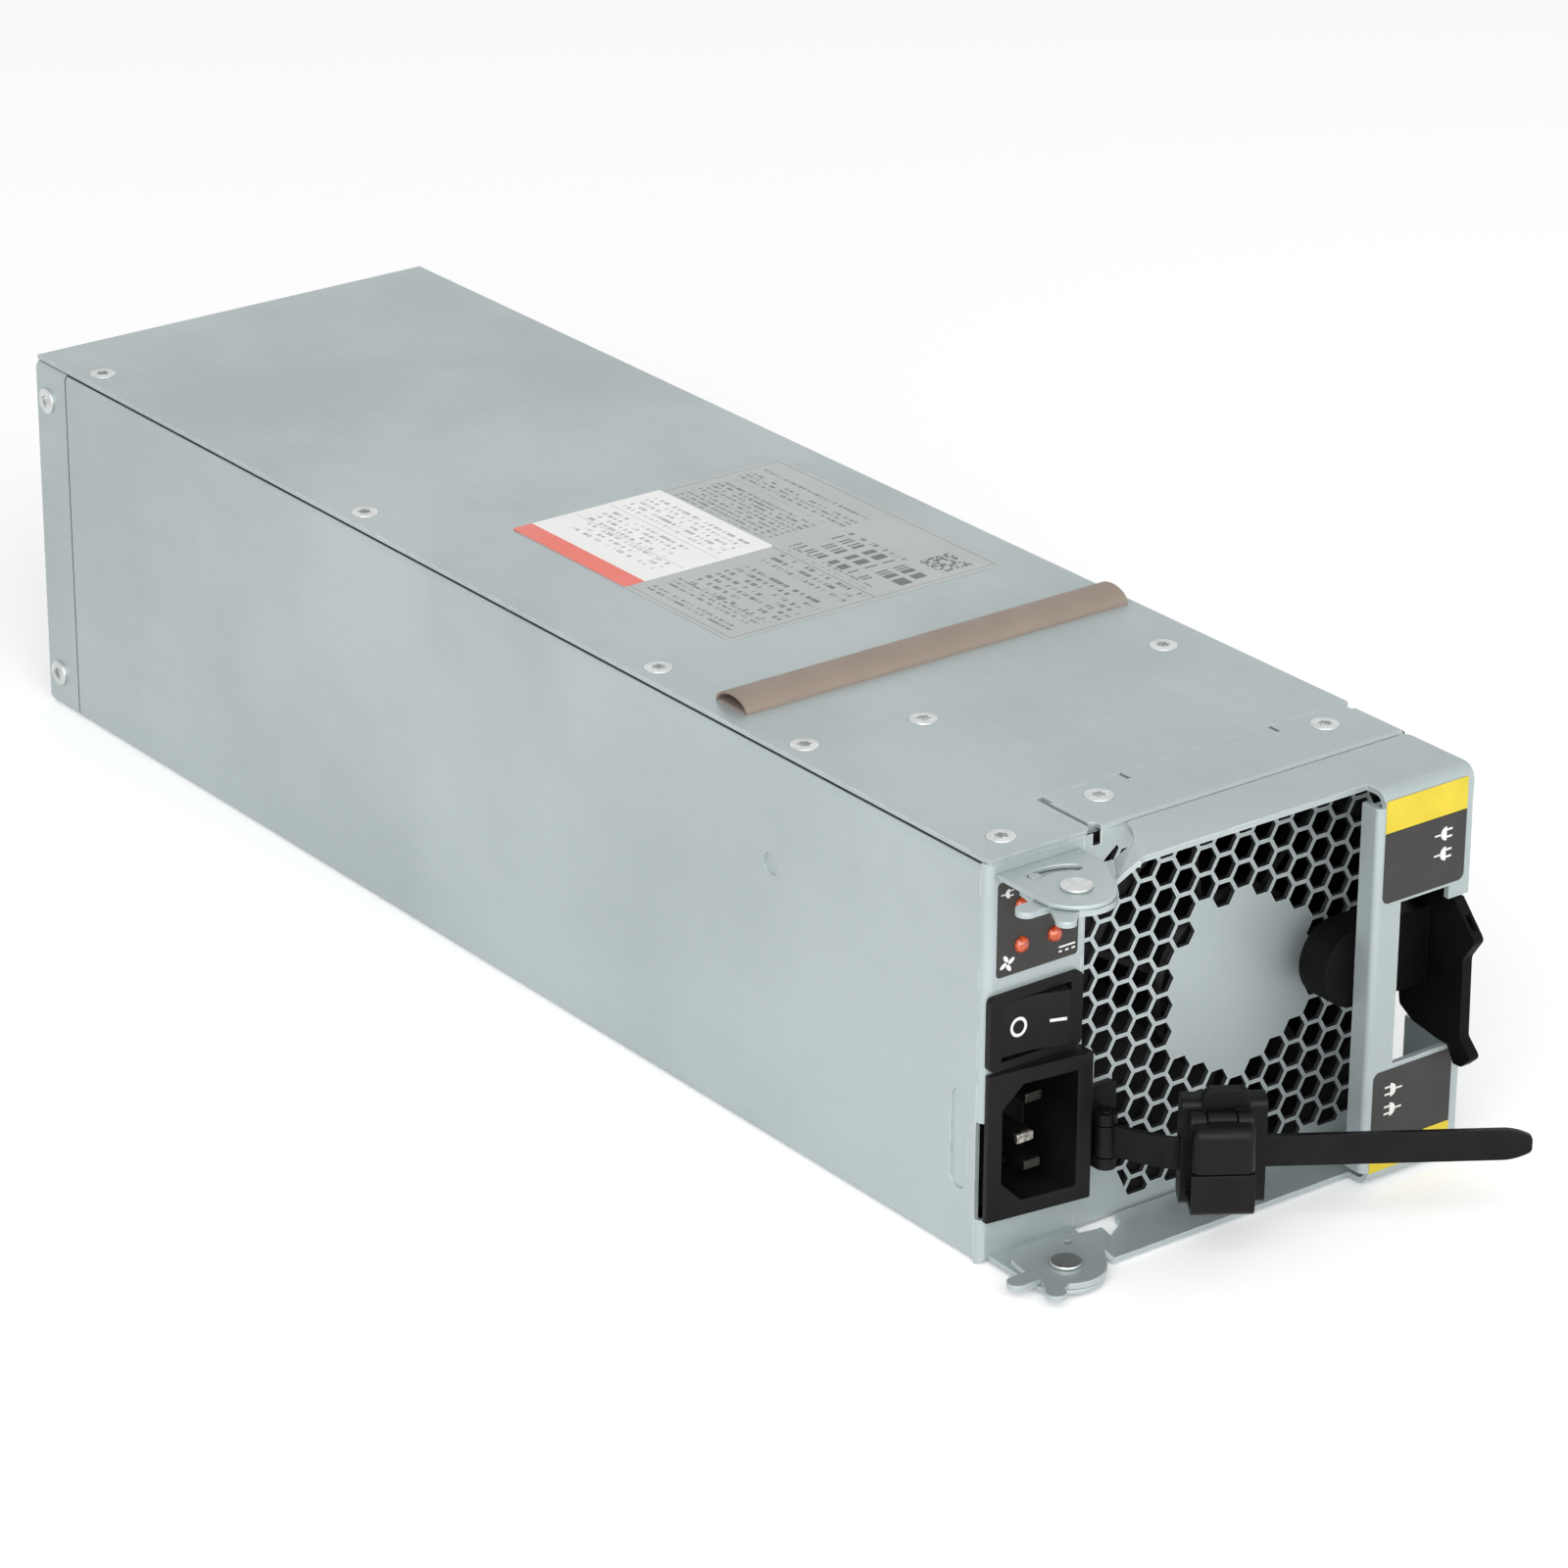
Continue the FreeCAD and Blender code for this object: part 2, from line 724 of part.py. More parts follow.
def top_cover():
    """The lid: it steps round the front flange and ends at the rear panel."""
    x_left = "left + cover_inset"
    x_right = "right - cover_inset"
    step_x = "left + flange_start - cover_slit"
    step_y = "front + flange_depth + slip"
    corners = [
        (x_left, "front"),
        (step_x, "front", "bend"),
        (step_x, step_y),
        (x_right, step_y),
        (x_right, "tray_rear"),
        (x_left, "tray_rear"),
    ]
    lid = prism("lid", "XY", "cover_seat", corners, "sheet")
    tab = block("lid_tab", ("left + 2 * tray_flange", "right - 2 * tray_flange"),
                ("tray_rear - lap", "rear - 2 * sheet"), ("cover_seat - sheet", "cover_seat"))
    seats = countersinks("lid", COVER_SCREWS[:5] + COVER_SCREWS[7:])
    return part("top_cover", cut("lid_drilled", fuse("lid_whole", lid, tab), *seats))


def rear_panel():
    """A shallow pan that closes the rear, with vents and the output opening."""
    y = ("tray_rear", "rear")
    skin, space = hollow_case("rear", y, "body_height")
    space = block("rear_space", ("left + sheet", "right - sheet"), ("tray_rear - 1", "rear - sheet"),
                  ("sheet", "body_height - sheet"))
    output = block("rear_output", centred("0", "output_width + 2 * slip"), ("rear - 2 * sheet", "rear + 1"),
                   ("board_top - slip", "board_top + output_height + slip"))
    vents = []
    for column in range(14):
        for low in ("33", "57"):
            x = "left + 9.5 + %d * 6.6" % column
            vents.append(block("vent", centred(x, "3"), ("rear - 2 * sheet", "rear + 1"),
                               (low, low + " + 19")))
    holes = [rod("rear_side_hole", "x", (start, "rear - rear_depth / 2 + 1.4", height),
                 "shank_radius + screw_fit", "3 * sheet")
             for start in ("left - sheet", "right - 2 * sheet") for height in ("74.8", "8.5")]
    return part("rear_panel", cut("rear_pan", skin, space, output, *vents, *holes))


def emi_gasket():
    """A soft conductive strip across the cover, rounded on top."""
    strip = block("gasket_strip", ("left + gasket_inset", "right - gasket_inset / 2"),
                  ("front + gasket_front", "front + gasket_front + gasket_width"),
                  ("body_height", "body_height + gasket_height"))
    top = "body_height + gasket_height"
    return part("emi_gasket", rounded("gasket", strip, "0.8 * gasket_height",
                                      ("x", {"y": "front + gasket_front", "z": top}),
                                      ("x", {"y": "front + gasket_front + gasket_width", "z": top})))


# Handle and its pivots.

def pivot_point(x, y, z):
    """A point given from the pivot."""
    return ("pivot_x + (%s)" % x, "pivot_y + (%s)" % y, z)


def pivot_ear(name, level):
    """A lug of the front panel with the pivot hole and the curved guide slot."""
    centre_x = "pivot_x - 0.5"
    centre_y = "pivot_y + 0.1"
    corners = [
        ("left + ear_offset", "front"),
        (centre_x + " - ear_radius", centre_y),
        (centre_x, centre_y),
        ("pivot_x + 6.3", "pivot_y - 4.1"),
        ("left + ear_offset + ear_width - 0.2", "pivot_y + 5.1"),
        ("left + ear_offset + ear_width", "front"),
    ]
    web = prism(name + "_web", "XY", level, corners, "ear_sheet")
    disc = rod(name + "_disc", "z", (centre_x, centre_y, level), "ear_radius", "ear_sheet")
    low = level + " - 1"
    hole = rod(name + "_hole", "z", ("pivot_x", "pivot_y", low), "rivet_radius", "ear_sheet + 2")
    first = "guide_pin_angle - handle_travel - 0.7"
    sweep = "handle_travel + 1.4"
    centre = ("pivot_x", "pivot_y", low)
    outer = sector(name + "_slot_outer", centre, "guide_radius + guide_width / 2", "ear_sheet + 2",
                   first, sweep)
    inner = rod(name + "_slot_inner", "z", centre, "guide_radius - guide_width / 2", "ear_sheet + 2")
    ends = [rod(name + "_slot_end", "z",
                pivot_point("guide_radius * cos(%s)" % angle, "guide_radius * sin(%s)" % angle, low),
                "guide_width / 2", "ear_sheet + 2") for angle in (first, first + " + " + sweep)]
    slot = cut(name + "_slot", outer, inner)
    return part(name, cut(name + "_drilled", fuse(name + "_whole", web, disc), hole, slot, *ends))


def pivot_rivet(name, bottom, ear, top):
    """A rivet through ear and cam: it is fixed in the ear, and the cam turns on it."""
    centre = ("pivot_x", "pivot_y")
    shank = rod(name + "_shank", "z", centre + (bottom,), "rivet_radius", "(%s) - (%s)" % (top, bottom))
    low_head = rod(name + "_low", "z", centre + (bottom,), "rivet_head_radius", "rivet_head")
    high_head = rod(name + "_high", "z", centre + ("%s - rivet_head" % top,), "rivet_head_radius",
                    "rivet_head")
    return part(name, fuse(name + "_whole", shank, low_head, high_head))


def cam(name, level):
    """The pivot end of a handle arm: a disc with two teeth that bear on the bay's frame."""
    thickness = "handle_sheet"
    centre = pivot_point("0", "0", level)
    disc = rod(name + "_disc", "z", centre, "cam_radius", thickness)
    back = sector(name + "_back", centre, "cam_back_radius", thickness, "60", "75")
    plate = prism(name + "_plate", "XY", level, [
        pivot_point("0", "0", "")[:2],
        pivot_point("6.6", "-4.1", "")[:2],
        pivot_point("8.6 + 0.9", "-1.3 + 1.2", "")[:2],
        pivot_point("8.6 + 6.2", "-1.3 + 8.45", "")[:2],
        pivot_point("cam_back_radius * cos(60)", "cam_back_radius * sin(60)", "")[:2],
    ], thickness)
    first = prism(name + "_first_tooth", "XY", level, [
        pivot_point("0", "0", "")[:2],
        pivot_point("cam_back_radius * cos(135)", "cam_back_radius * sin(135)", "")[:2],
        pivot_point("-8.2", "tooth_half_width + 0.2", "")[:2],
        pivot_point("tooth_half_width - tooth_reach", "tooth_half_width + 0.2", "")[:2],
        pivot_point("tooth_half_width - tooth_reach", "0.2 - tooth_half_width", "")[:2],
        pivot_point("-1", "0.2 - tooth_half_width", "")[:2],
    ], thickness)
    first_tip = rod(name + "_first_tip", "z",
                    pivot_point("tooth_half_width - tooth_reach", "0.2", level),
                    "tooth_half_width", thickness)
    second = prism(name + "_second_tooth", "XY", level, [
        pivot_point("0", "0", "")[:2],
        pivot_point("-7.6", "-1.7", "")[:2],
        pivot_point("-second_tooth_shift - tooth_half_width", "tooth_half_width - second_tooth_reach",
                    "")[:2],
        pivot_point("-second_tooth_shift + tooth_half_width", "tooth_half_width - second_tooth_reach",
                    "")[:2],
        pivot_point("-4.5", "-6.4", "")[:2],
    ], thickness)
    second_tip = rod(name + "_second_tip", "z",
                     pivot_point("-second_tooth_shift", "tooth_half_width - second_tooth_reach",
                                 level), "tooth_half_width", thickness)
    return fuse(name, disc, back, plate, first, first_tip, second, second_tip)


def joggle(name, cam_level, arm_level, rise):
    """The slanted step between a cam and its arm."""
    body = prism(name, "XZ", "0", [
        ("-lip", cam_level),
        ("0", cam_level),
        (rise, arm_level),
        (rise + " + lip", arm_level),
        (rise + " + lip", arm_level + " + handle_sheet"),
        (rise, arm_level + " + handle_sheet"),
        ("0", cam_level + " + handle_sheet"),
        ("-lip", cam_level + " + handle_sheet"),
    ], "joggle_width")
    turn = FreeCAD.Rotation(FreeCAD.Vector(0, 0, 1), math.degrees(math.atan2(-5.3, 7.2)))
    body.Placement = FreeCAD.Placement(FreeCAD.Vector(), turn)
    return move(body, "pivot_x + 8.6 + 0.9", "pivot_y - 1.3 + 1.2", "0")


def arm(name, level, rise):
    """A flat side plate of the handle, from its joggle to the front plate."""
    across = "0.805 * (%s)" % rise
    ahead = "0.593 * (%s)" % rise
    corners = [
        ("pivot_x + 9.5 + " + across, "pivot_y - 0.1 - " + ahead),
        ("pivot_x + 12 + " + across, "front - arm_front"),
        ("left + plate_offset + left_roll", "front - arm_front"),
        ("left + plate_offset + left_roll", "plate_front"),
        ("left + plate_end", "plate_front"),
        ("left + plate_end", "front - arm_back", "1.5"),
        ("left + arm_step_offset", "front - arm_back", "1.5"),
        ("left + arm_step_offset - 1.5", "front - arm_step"),
        ("pivot_x + 9.5 + 5.33 + " + across, "pivot_y - 0.1 + 7.24 - " + ahead),
    ]
    return prism(name, "XY", level, corners, "handle_sheet")


def handle_bail():
    """The hinged handle: two cams, two arms and the front plate with the latch window."""
    top = "upper_arm + handle_sheet"
    upper = arm("upper_arm_plate", "upper_arm", "upper_joggle")
    lower = arm("lower_arm_plate", "lower_arm", "lower_joggle")
    plate = block("front_plate", ("left + plate_offset + left_roll", "left + plate_end"),
                  ("plate_front", "plate_front + handle_sheet"), ("lower_arm", top))
    inner = "plate_front + handle_sheet"
    frame = fuse("handle_frame", upper, lower, plate)
    frame = rounded("handle_outer_bends", frame, "plate_bend", ("x", {"y": "plate_front", "z": top}),
                    ("x", {"y": "plate_front", "z": "lower_arm"}))
    frame = rounded("handle_inner_bends", frame, "plate_bend - handle_sheet",
                    ("x", {"y": inner, "z": "upper_arm"}),
                    ("x", {"y": inner, "z": "lower_arm + handle_sheet"}))
    clear = "plate_bend + 0.2"
    left_return = prism("left_return_flange", "XY", "lower_arm + " + clear, [
        ("left + plate_offset", "plate_front", "left_roll"),
        ("left + plate_offset + 2 * left_roll", "plate_front"),
        ("left + plate_offset + 2 * left_roll", inner),
        ("left + plate_offset + handle_sheet", inner),
        ("left + plate_offset + handle_sheet", "plate_front + left_return"),
        ("left + plate_offset", "plate_front + left_return"),
    ], top + " - lower_arm - 2 * (" + clear + ")")
    returns = [block("right_return_flange",
                     ("left + plate_end - handle_sheet", "left + plate_end"),
                     ("plate_front", "plate_front + right_return"), z)
               for z in (("lower_arm + " + clear, "window_low"),
                         ("window_high + 1", top + " - (" + clear + ")"))]
    window = block("window", ("left + window_offset", "left + tongue_offset"),
                   ("plate_front - 1", "plate_front + 2 * handle_sheet"), ("window_low", "window_high"))
    window_end = block("window_end", ("left + tongue_offset - 1", "left + plate_end + 1"),
                       ("plate_front - 1", "plate_front + 2 * handle_sheet"),
                       ("window_low", "window_high - tongue_drop"))
    frame = cut("handle_windowed", frame, window, window_end)
    cams = [cam("upper_cam_plate", "upper_cam"), cam("lower_cam_plate", "lower_cam")]
    steps = [joggle("upper_step", "upper_cam", "upper_arm", "upper_joggle"),
             joggle("lower_step", "lower_cam", "lower_arm", "lower_joggle")]
    pins = [rod("guide_pin", "z",
                pivot_point("guide_radius * cos(guide_pin_angle)",
                            "guide_radius * sin(guide_pin_angle)", level),
                "guide_pin_radius", "0.9 * ear_sheet + slip")
            for level in ("upper_cam + handle_sheet", "lower_cam - slip - 0.9 * ear_sheet")]
    whole = fuse("handle_whole", frame, left_return, *returns, *cams, *steps, *pins)
    holes = [rod("cam_hole", "z", pivot_point("0", "0", level + " - 1"), "rivet_radius + axle_fit",
                 "handle_sheet + 2") for level in ("upper_cam", "lower_cam")]
    sight = rod("cam_sight_hole", "z", pivot_point("5.8", "6.5", "lower_cam - 1"), "1",
                "handle_sheet + 2")
    return part("handle_bail", cut("handle", whole, *holes, sight))


def handle_latch():
    """The finger latch: a wall that hooks through the window, and the knob that slides it in."""
    wall = prism("latch_wall_plate", "YZ", "latch_x", [
        ("front - 6.5", "29.4", "1"),
        ("front - 10.3", "27.2"),
        ("front - 17.7", "window_low + fit"),
        ("plate_front - fit", "window_low + fit"),
        ("plate_front - 2.3", "22.5"),
        ("plate_front - 4.5", "22.6", "0.8"),
        ("plate_front - 7.2", "25.2", "1"),
        ("plate_front - 3.8", "28.6", "1.2"),
        ("plate_front - 3.5", "45.4", "2.5"),
        ("plate_front - 6.6", "50", "1.2"),
        ("plate_front - fit", "window_high - tongue_drop - fit"),
        ("front - 18.4", "window_high - tongue_drop - fit"),
        ("front - 18.4", "60.6"),
        ("front - 12", "61", "2"),
        ("front - 6.5", "55", "2"),
        ("front - 4.5", "42", "2"),
    ], "latch_wall")
    pocket = block("latch_pocket", centred("latch_x + latch_wall / 2", "0.5 * latch_wall"),
                   ("plate_front - 5.5", "plate_front - 2"), ("51.6", "54.2"))
    shoulder = block("knob_bar", ("left + knob_offset + knob_radius", "latch_x"),
                     ("front - knob_front", "front - knob_back"),
                     centred("knob_height", "2 * knob_radius"))
    tip = rod("knob_tip", "y", ("left + knob_offset + knob_radius", "front - knob_front", "knob_height"),
              "knob_radius", "knob_front - knob_back")
    whole = fuse("latch_whole", wall, shoulder, tip)
    return part("handle_latch", cut("latch", whole, pocket))


# Mains inlet, switch and lamps.

def ac_inlet():
    """The mains inlet: a wedge faced bezel over a body with the plug's cavity."""
    bezel_left = "inlet_x - inlet_bezel_width / 2"
    bezel_right = "inlet_x + inlet_bezel_width / 2"
    bezel = prism("inlet_bezel", "XY", "inlet_height - inlet_bezel_height / 2", [
        (bezel_left, "front"),
        (bezel_left, "front - inlet_thin"),
        (bezel_right, "front - inlet_thick"),
        (bezel_right, "front"),
    ], "inlet_bezel_height")
    shell = block("inlet_body", centred("inlet_x", "inlet_body_width"),
                  ("front - 0.5", "front + inlet_depth"), centred("inlet_height", "inlet_body_height"))
    half_width = "cavity_width / 2"
    half_height = "cavity_height / 2"
    cavity = prism("inlet_cavity", "XZ", "front - inlet_thick - 1", [
        ("inlet_x + " + half_width, "inlet_height - " + half_height),
        ("inlet_x + " + half_width, "inlet_height + " + half_height),
        ("inlet_x - " + half_width + " + cavity_chamfer", "inlet_height + " + half_height),
        ("inlet_x - " + half_width, "inlet_height + " + half_height + " - cavity_chamfer"),
        ("inlet_x - " + half_width, "inlet_height - " + half_height + " + cavity_chamfer"),
        ("inlet_x - " + half_width + " + cavity_chamfer", "inlet_height - " + half_height),
    ], "cavity_depth + inlet_thick + 1")
    slots = [block("inlet_pin_slot", centred(x, "pin_width"),
                   ("front + cavity_depth - 1", "front + inlet_depth + 1"), centred(z, "pin_thickness"))
             for x, z, tip in pin_places()]
    return part("ac_inlet", cut("inlet", fuse("inlet_whole", bezel, shell), cavity, *slots))


def pin_places():
    """Middle and tip of the three pins: live, earth, neutral."""
    return [
        ("inlet_x + live_pin_shift", "inlet_height + pin_spacing / 2", "front + live_pin_setback"),
        ("inlet_x + earth_pin_shift", "inlet_height", "front - earth_pin_proud"),
        ("inlet_x + live_pin_shift", "inlet_height - pin_spacing / 2", "front + live_pin_setback"),
    ]


def inlet_pins():
    """Flat pins that run through the inlet's floor to solder tabs behind it."""
    pins = [block("inlet_pin", centred(x, "pin_width"), (tip, "front + inlet_depth + tab_length"),
                  centred(z, "pin_thickness")) for x, z, tip in pin_places()]
    return part("inlet_pins", group("all_inlet_pins", *pins))


def switch_housing():
    """The switch's bezel and body, open in front for the rocker, with its axle across the opening."""
    bezel = block("switch_bezel", centred("switch_x", "switch_bezel_width"),
                  ("front - switch_bezel_proud", "front"),
                  centred("switch_height", "switch_bezel_height"))
    bezel = rounded("switch_bezel_corners", bezel, "1.2", *[
        ("y", {"x": x, "z": z})
        for x in centred("switch_x", "switch_bezel_width")
        for z in centred("switch_height", "switch_bezel_height")])
    shell = block("switch_body", centred("switch_x", "switch_hole_width"),
                  ("front - 0.5", "front + switch_body_depth"),
                  centred("switch_height", "switch_hole_height"))
    well = block("switch_well", centred("switch_x", "rocker_width + 2 * fit"),
                 ("front - switch_bezel_proud - 1", "front + rocker_depth + 2"),
                 centred("switch_height", "rocker_height + 2 * fit"))
    axle = rod("switch_axle", "z", ("switch_x", "front + 1.5", "switch_height - rocker_height / 2 - 0.5"),
               "rocker_axle", "rocker_height + 1")
    tabs = [block("switch_tab", centred("switch_x + %s" % shift, "0.8"),
                  ("front + switch_body_depth - 1", "front + switch_body_depth + tab_length"),
                  centred("switch_height", "6.3")) for shift in ("5", "-5")]
    return part("switch_housing", fuse("switch_whole", cut("switch", fuse("switch_solid", bezel, shell),
                                                           well), axle, *tabs))


def rocker():
    """The rocker rests with its O side out and its I side pressed; its middle line is its axle."""
    half = "rocker_width / 2"
    face = "front - switch_bezel_proud"
    body = prism("rocker_profile", "XY", "switch_height - rocker_height / 2", [
        ("switch_x - " + half, face + " - rocker_proud", "0.6"),
        ("switch_x", face + " + 0.2"),
        ("switch_x + " + half, face + " + rocker_dip", "0.6"),
        ("switch_x + " + half + " - 0.6", "front + 3"),
        ("switch_x + 3", "front + rocker_depth"),
        ("switch_x - 3", "front + rocker_depth"),
        ("switch_x - " + half + " + 1.2", "front + 1.2"),
    ], "rocker_height")
    bore = rod("rocker_bore", "z", ("switch_x", "front + 1.5", "switch_height - rocker_height"),
               "rocker_axle + axle_fit", "2 * rocker_height")
    return part("rocker", cut("rocker_bored", body, bore))


def status_lamps():
    """Four lamps on a small upright board behind the front panel."""
    lamps = []
    for x, z in lamp_places():
        stem = rod("lamp_stem", "y", (x, "front + 0.2", z), "lamp_radius", "lamp_length + sheet - 0.2")
        lamps.append(stem)
    return part("status_lamps", group("all_lamps", *lamps))


def lamp_board():
    """The board that carries the lamps."""
    start = "front + sheet + lamp_length"
    return part("lamp_board", block("lamp_board_plate", ("left + 3", "left + 20.5"),
                                    (start, start + " + board_thickness"), ("lamp_board_low", "lamp_board_high")))


# Fans.

def fan_frame(name, start):
    """A square fan frame: two flanges, a tube between them, and the motor's seat on four stays."""
    low = "fan_height - fan_size / 2"
    high = "fan_height + fan_size / 2"
    side = centred("fan_x", "fan_size")
    flanges = [block(name + "_flange", side, y, (low, high))
               for y in ((start, start + " + fan_flange"),
                         (start + " + fan_depth - fan_flange", start + " + fan_depth"))]
    tube = rod(name + "_tube", "y", ("fan_x", start, "fan_height"), "fan_size / 2", "fan_depth")
    bore = rod(name + "_bore", "y", ("fan_x", start + " - 1", "fan_height"), "fan_size / 2 - fan_wall",
               "fan_depth + 2")
    corner = block(name + "_wire_notch", (side[0] + " - 1", side[0] + " + 11.5"),
                   (start + " - 1", start + " + fan_depth + 1"), (low + " - 1", low + " + 11"))
    holes = [rod(name + "_screw_hole", "y",
                 ("fan_x + %d * fan_screw_pitch / 2" % across, start + " - 1",
                  "fan_height + %d * fan_screw_pitch / 2" % up),
                 "fan_screw_radius", "fan_depth + 2") for across, up in ((1, 1), (1, -1), (-1, 1))]
    shell = cut(name + "_shell", fuse(name + "_solid", *flanges, tube), bore, corner, *holes)
    rear = start + " + fan_depth - stator_depth"
    stays = [block(name + "_stay_across", ("fan_x - fan_size / 2 + 0.7", "fan_x + fan_size / 2 - 0.7"),
                   (rear, start + " + fan_depth"), centred("fan_height", "stay_width")),
             block(name + "_stay_up", centred("fan_x", "stay_width"), (rear, start + " + fan_depth"),
                   (low + " + 0.7", high + " - 0.7"))]
    seat = rod(name + "_seat", "y", ("fan_x", rear, "fan_height"), "stator_radius", "stator_depth")
    boss_start = start + " + blade_gap + 2 * hub_wall + 2"
    boss = rod(name + "_boss", "y", ("fan_x", boss_start, "fan_height"), "boss_radius",
               "fan_depth - blade_gap - 2 * hub_wall - 2.5")
    axle_hole = rod(name + "_axle_hole", "y", ("fan_x", start, "fan_height"), "axle_radius + axle_fit",
                    "fan_depth - 1")
    return part(name, cut(name + "_whole", fuse(name + "_joined", shell, *stays, seat, boss), axle_hole))


def blade(radius, width, camber, start):
    """One section of a blade in the plane at this radius: a thin cambered strip."""
    depth = number("blade_depth")
    half = number("blade_thickness") / 2
    stations = [(-width / 2, 0.0), (camber - width / 6, depth / 2), (width / 2, depth)]
    ring = [FreeCAD.Vector(across - half, start + along, radius) for across, along in stations]
    ring += [FreeCAD.Vector(across + half, start + along, radius) for across, along in stations[::-1]]
    return Part.makePolygon(ring + ring[:1])


def fan_rotor(name, start, blades):
    """A hub cup with its axle and swept blades."""
    front = start + " + blade_gap + 1"
    cup = rod(name + "_cup", "y", ("fan_x", front, "fan_height"), "hub_radius", "hub_depth")
    hollow = rod(name + "_hollow", "y", ("fan_x", front + " + hub_wall", "fan_height"),
                 "hub_radius - hub_wall", "hub_depth")
    nose = taper(name + "_nose", "y", ("fan_x", start + " + blade_gap", "fan_height"),
                 "hub_radius - 1", "hub_radius", "1")
    axle = rod(name + "_axle", "y", ("fan_x", front, "fan_height"), "axle_radius",
               "fan_depth - blade_gap - 5")
    root = number("hub_radius - hub_wall") + 0.1
    tip = number("fan_size / 2 - fan_wall - blade_gap")
    first = number(start + " + blade_gap + 2")
    span = 0.78 * number("hub_radius")
    tip_width = 1.35 * span
    sections = [blade(root, 0.95 * span, 1.6, first),
                blade(math.sqrt(tip ** 2 - (tip_width / 2 + 1) ** 2), tip_width, 1.0, first)]
    loft = Part.makeLoft(sections, True, True)
    axis = vector("fan_x", "0", "fan_height")
    copies = []
    for index in range(blades):
        copy = loft.copy()
        copy.rotate(FreeCAD.Vector(), FreeCAD.Vector(0, 1, 0), 360.0 * index / blades)
        copy.translate(axis)
        copies.append(copy)
    ring = doc.addObject("Part::Feature", name + "_blades")
    ring.Shape = Part.makeCompound(copies)
    whole = fuse(name + "_whole", cut(name + "_hub", cup, hollow), nose, axle, ring)
    return part(name, whole)


def fan_bracket():
    """The plate under the top sheets that both fans hang from, with a side wall by the inlet."""
    x = ("column_edge - sheet", "right - tray_flange - sheet - 0.2")
    y = ("tray_front + slip", "rear_fan + fan_depth")
    top = block("bracket_top", x, y, ("cover_seat - sheet", "cover_seat"))
    wall = block("bracket_wall", (x[0], "column_edge"), y, ("42", "cover_seat"))
    holes = screw_holes("bracket", "cover_seat - sheet - 1", "sheet + 2", COVER_SCREWS[5:])
    return part("fan_bracket", cut("bracket", fuse("bracket_whole", top, wall), *holes))


# Power stage.

STANDOFFS = [(x, y) for x in ("left + 10", "right - 10") for y in ("front + 92", "front + 205", "rear - 22.8")]


def insulator_sheet():
    """A thin sheet on the case's floor below fans and board."""
    sheet = block("insulator", ("left + 5", "right - 5"), ("tray_front + 1", "rear - rear_depth - lap"),
                  ("insulator_height", "insulator_height + insulator_thickness"))
    holes = [rod("insulator_hole", "z", (x, y, "0"), "3.4", "3") for x, y in STANDOFFS]
    return part("insulator_sheet", cut("insulator_punched", sheet, *holes))


def board_standoffs():
    """Posts riveted to the floor, with the screws that hold the board."""
    posts = []
    for x, y in STANDOFFS:
        post = rod("standoff", "z", (x, y, "sheet"), "3", "board_height - sheet")
        neck = rod("standoff_screw", "z", (x, y, "board_height - 1"), "shank_radius",
                   "board_thickness + 2")
        head = rod("standoff_head", "z", (x, y, "board_top"), "2.8", "2")
        posts.append(fuse("board_post", post, neck, head))
    return part("board_standoffs", group("all_standoffs", *posts))


def main_board():
    """The main circuit board."""
    plate = block("board_plate", ("left + 3", "right - 3"), ("front + board_front", "rear - 3 * sheet"),
                  ("board_height", "board_top"))
    holes = [rod("board_hole", "z", (x, y, "board_height - 1"), "shank_radius + screw_fit", "4")
             for x, y in STANDOFFS]
    return part("main_board", cut("board", plate, *holes))


def bulk_capacitors():
    """Two tall electrolytic capacitors with beaded cans."""
    cans = []
    for index in range(2):
        x = "left + 30 + %d * 37" % index
        can = rod("capacitor_can", "z", (x, "front + 165", "board_top"), "17", "48.5")
        rim = taper("capacitor_rim", "z", (x, "front + 165", "board_top + 48.5"), "17", "15.5", "1.5")
        cans.append(fuse("capacitor", can, rim))
    return part("bulk_capacitors", group("all_capacitors", *cans))


def wound_core(name, x, y, radius, width):
    """A toroid choke standing on edge: a ring across X on a small base."""
    base = block(name + "_base", centred(x, width), centred(y, "1.6 * (%s)" % radius),
                 ("board_top", "board_top + 3"))
    ring = rod(name + "_ring", "x", ("%s - (%s) / 2" % (x, width), y, "board_top + 2 + %s" % radius),
               radius, width)
    eye = rod(name + "_eye", "x", ("%s - (%s)" % (x, width), y, "board_top + 2 + %s" % radius),
              "0.4 * (%s)" % radius, "2 * (%s)" % width)
    return fuse(name + "_whole", base, cut(name + "_core", ring, eye))


def filter_chokes():
    """The two common mode chokes of the mains filter."""
    cores = [wound_core("filter_choke", "left + %s" % x, "front + 105", "13", "14") for x in ("20", "42")]
    return part("filter_chokes", group("all_filter_chokes", *cores))


def boost_choke():
    """The large choke of the power factor stage."""
    return part("boost_choke", wound_core("boost", "right - 28", "front + 118", "20", "26"))


def transformer():
    """The main transformer: a ferrite frame round its winding."""
    core = block("transformer_core", centred("0", "44"), centred("front + 245", "34"),
                 ("board_top", "board_top + 36"))
    windows = [block("transformer_window", centred("%s" % x, "9"), centred("front + 245", "40"),
                     ("board_top + 8", "board_top + 28")) for x in ("-11.5", "11.5")]
    winding = [block("transformer_winding", centred("%s" % x, "9"), centred("front + 245", "42"),
                     ("board_top + 8", "board_top + 28")) for x in ("-11.5", "11.5")]
    return part("transformer", fuse("transformer_whole", cut("core_cut", core, *windows), *winding))


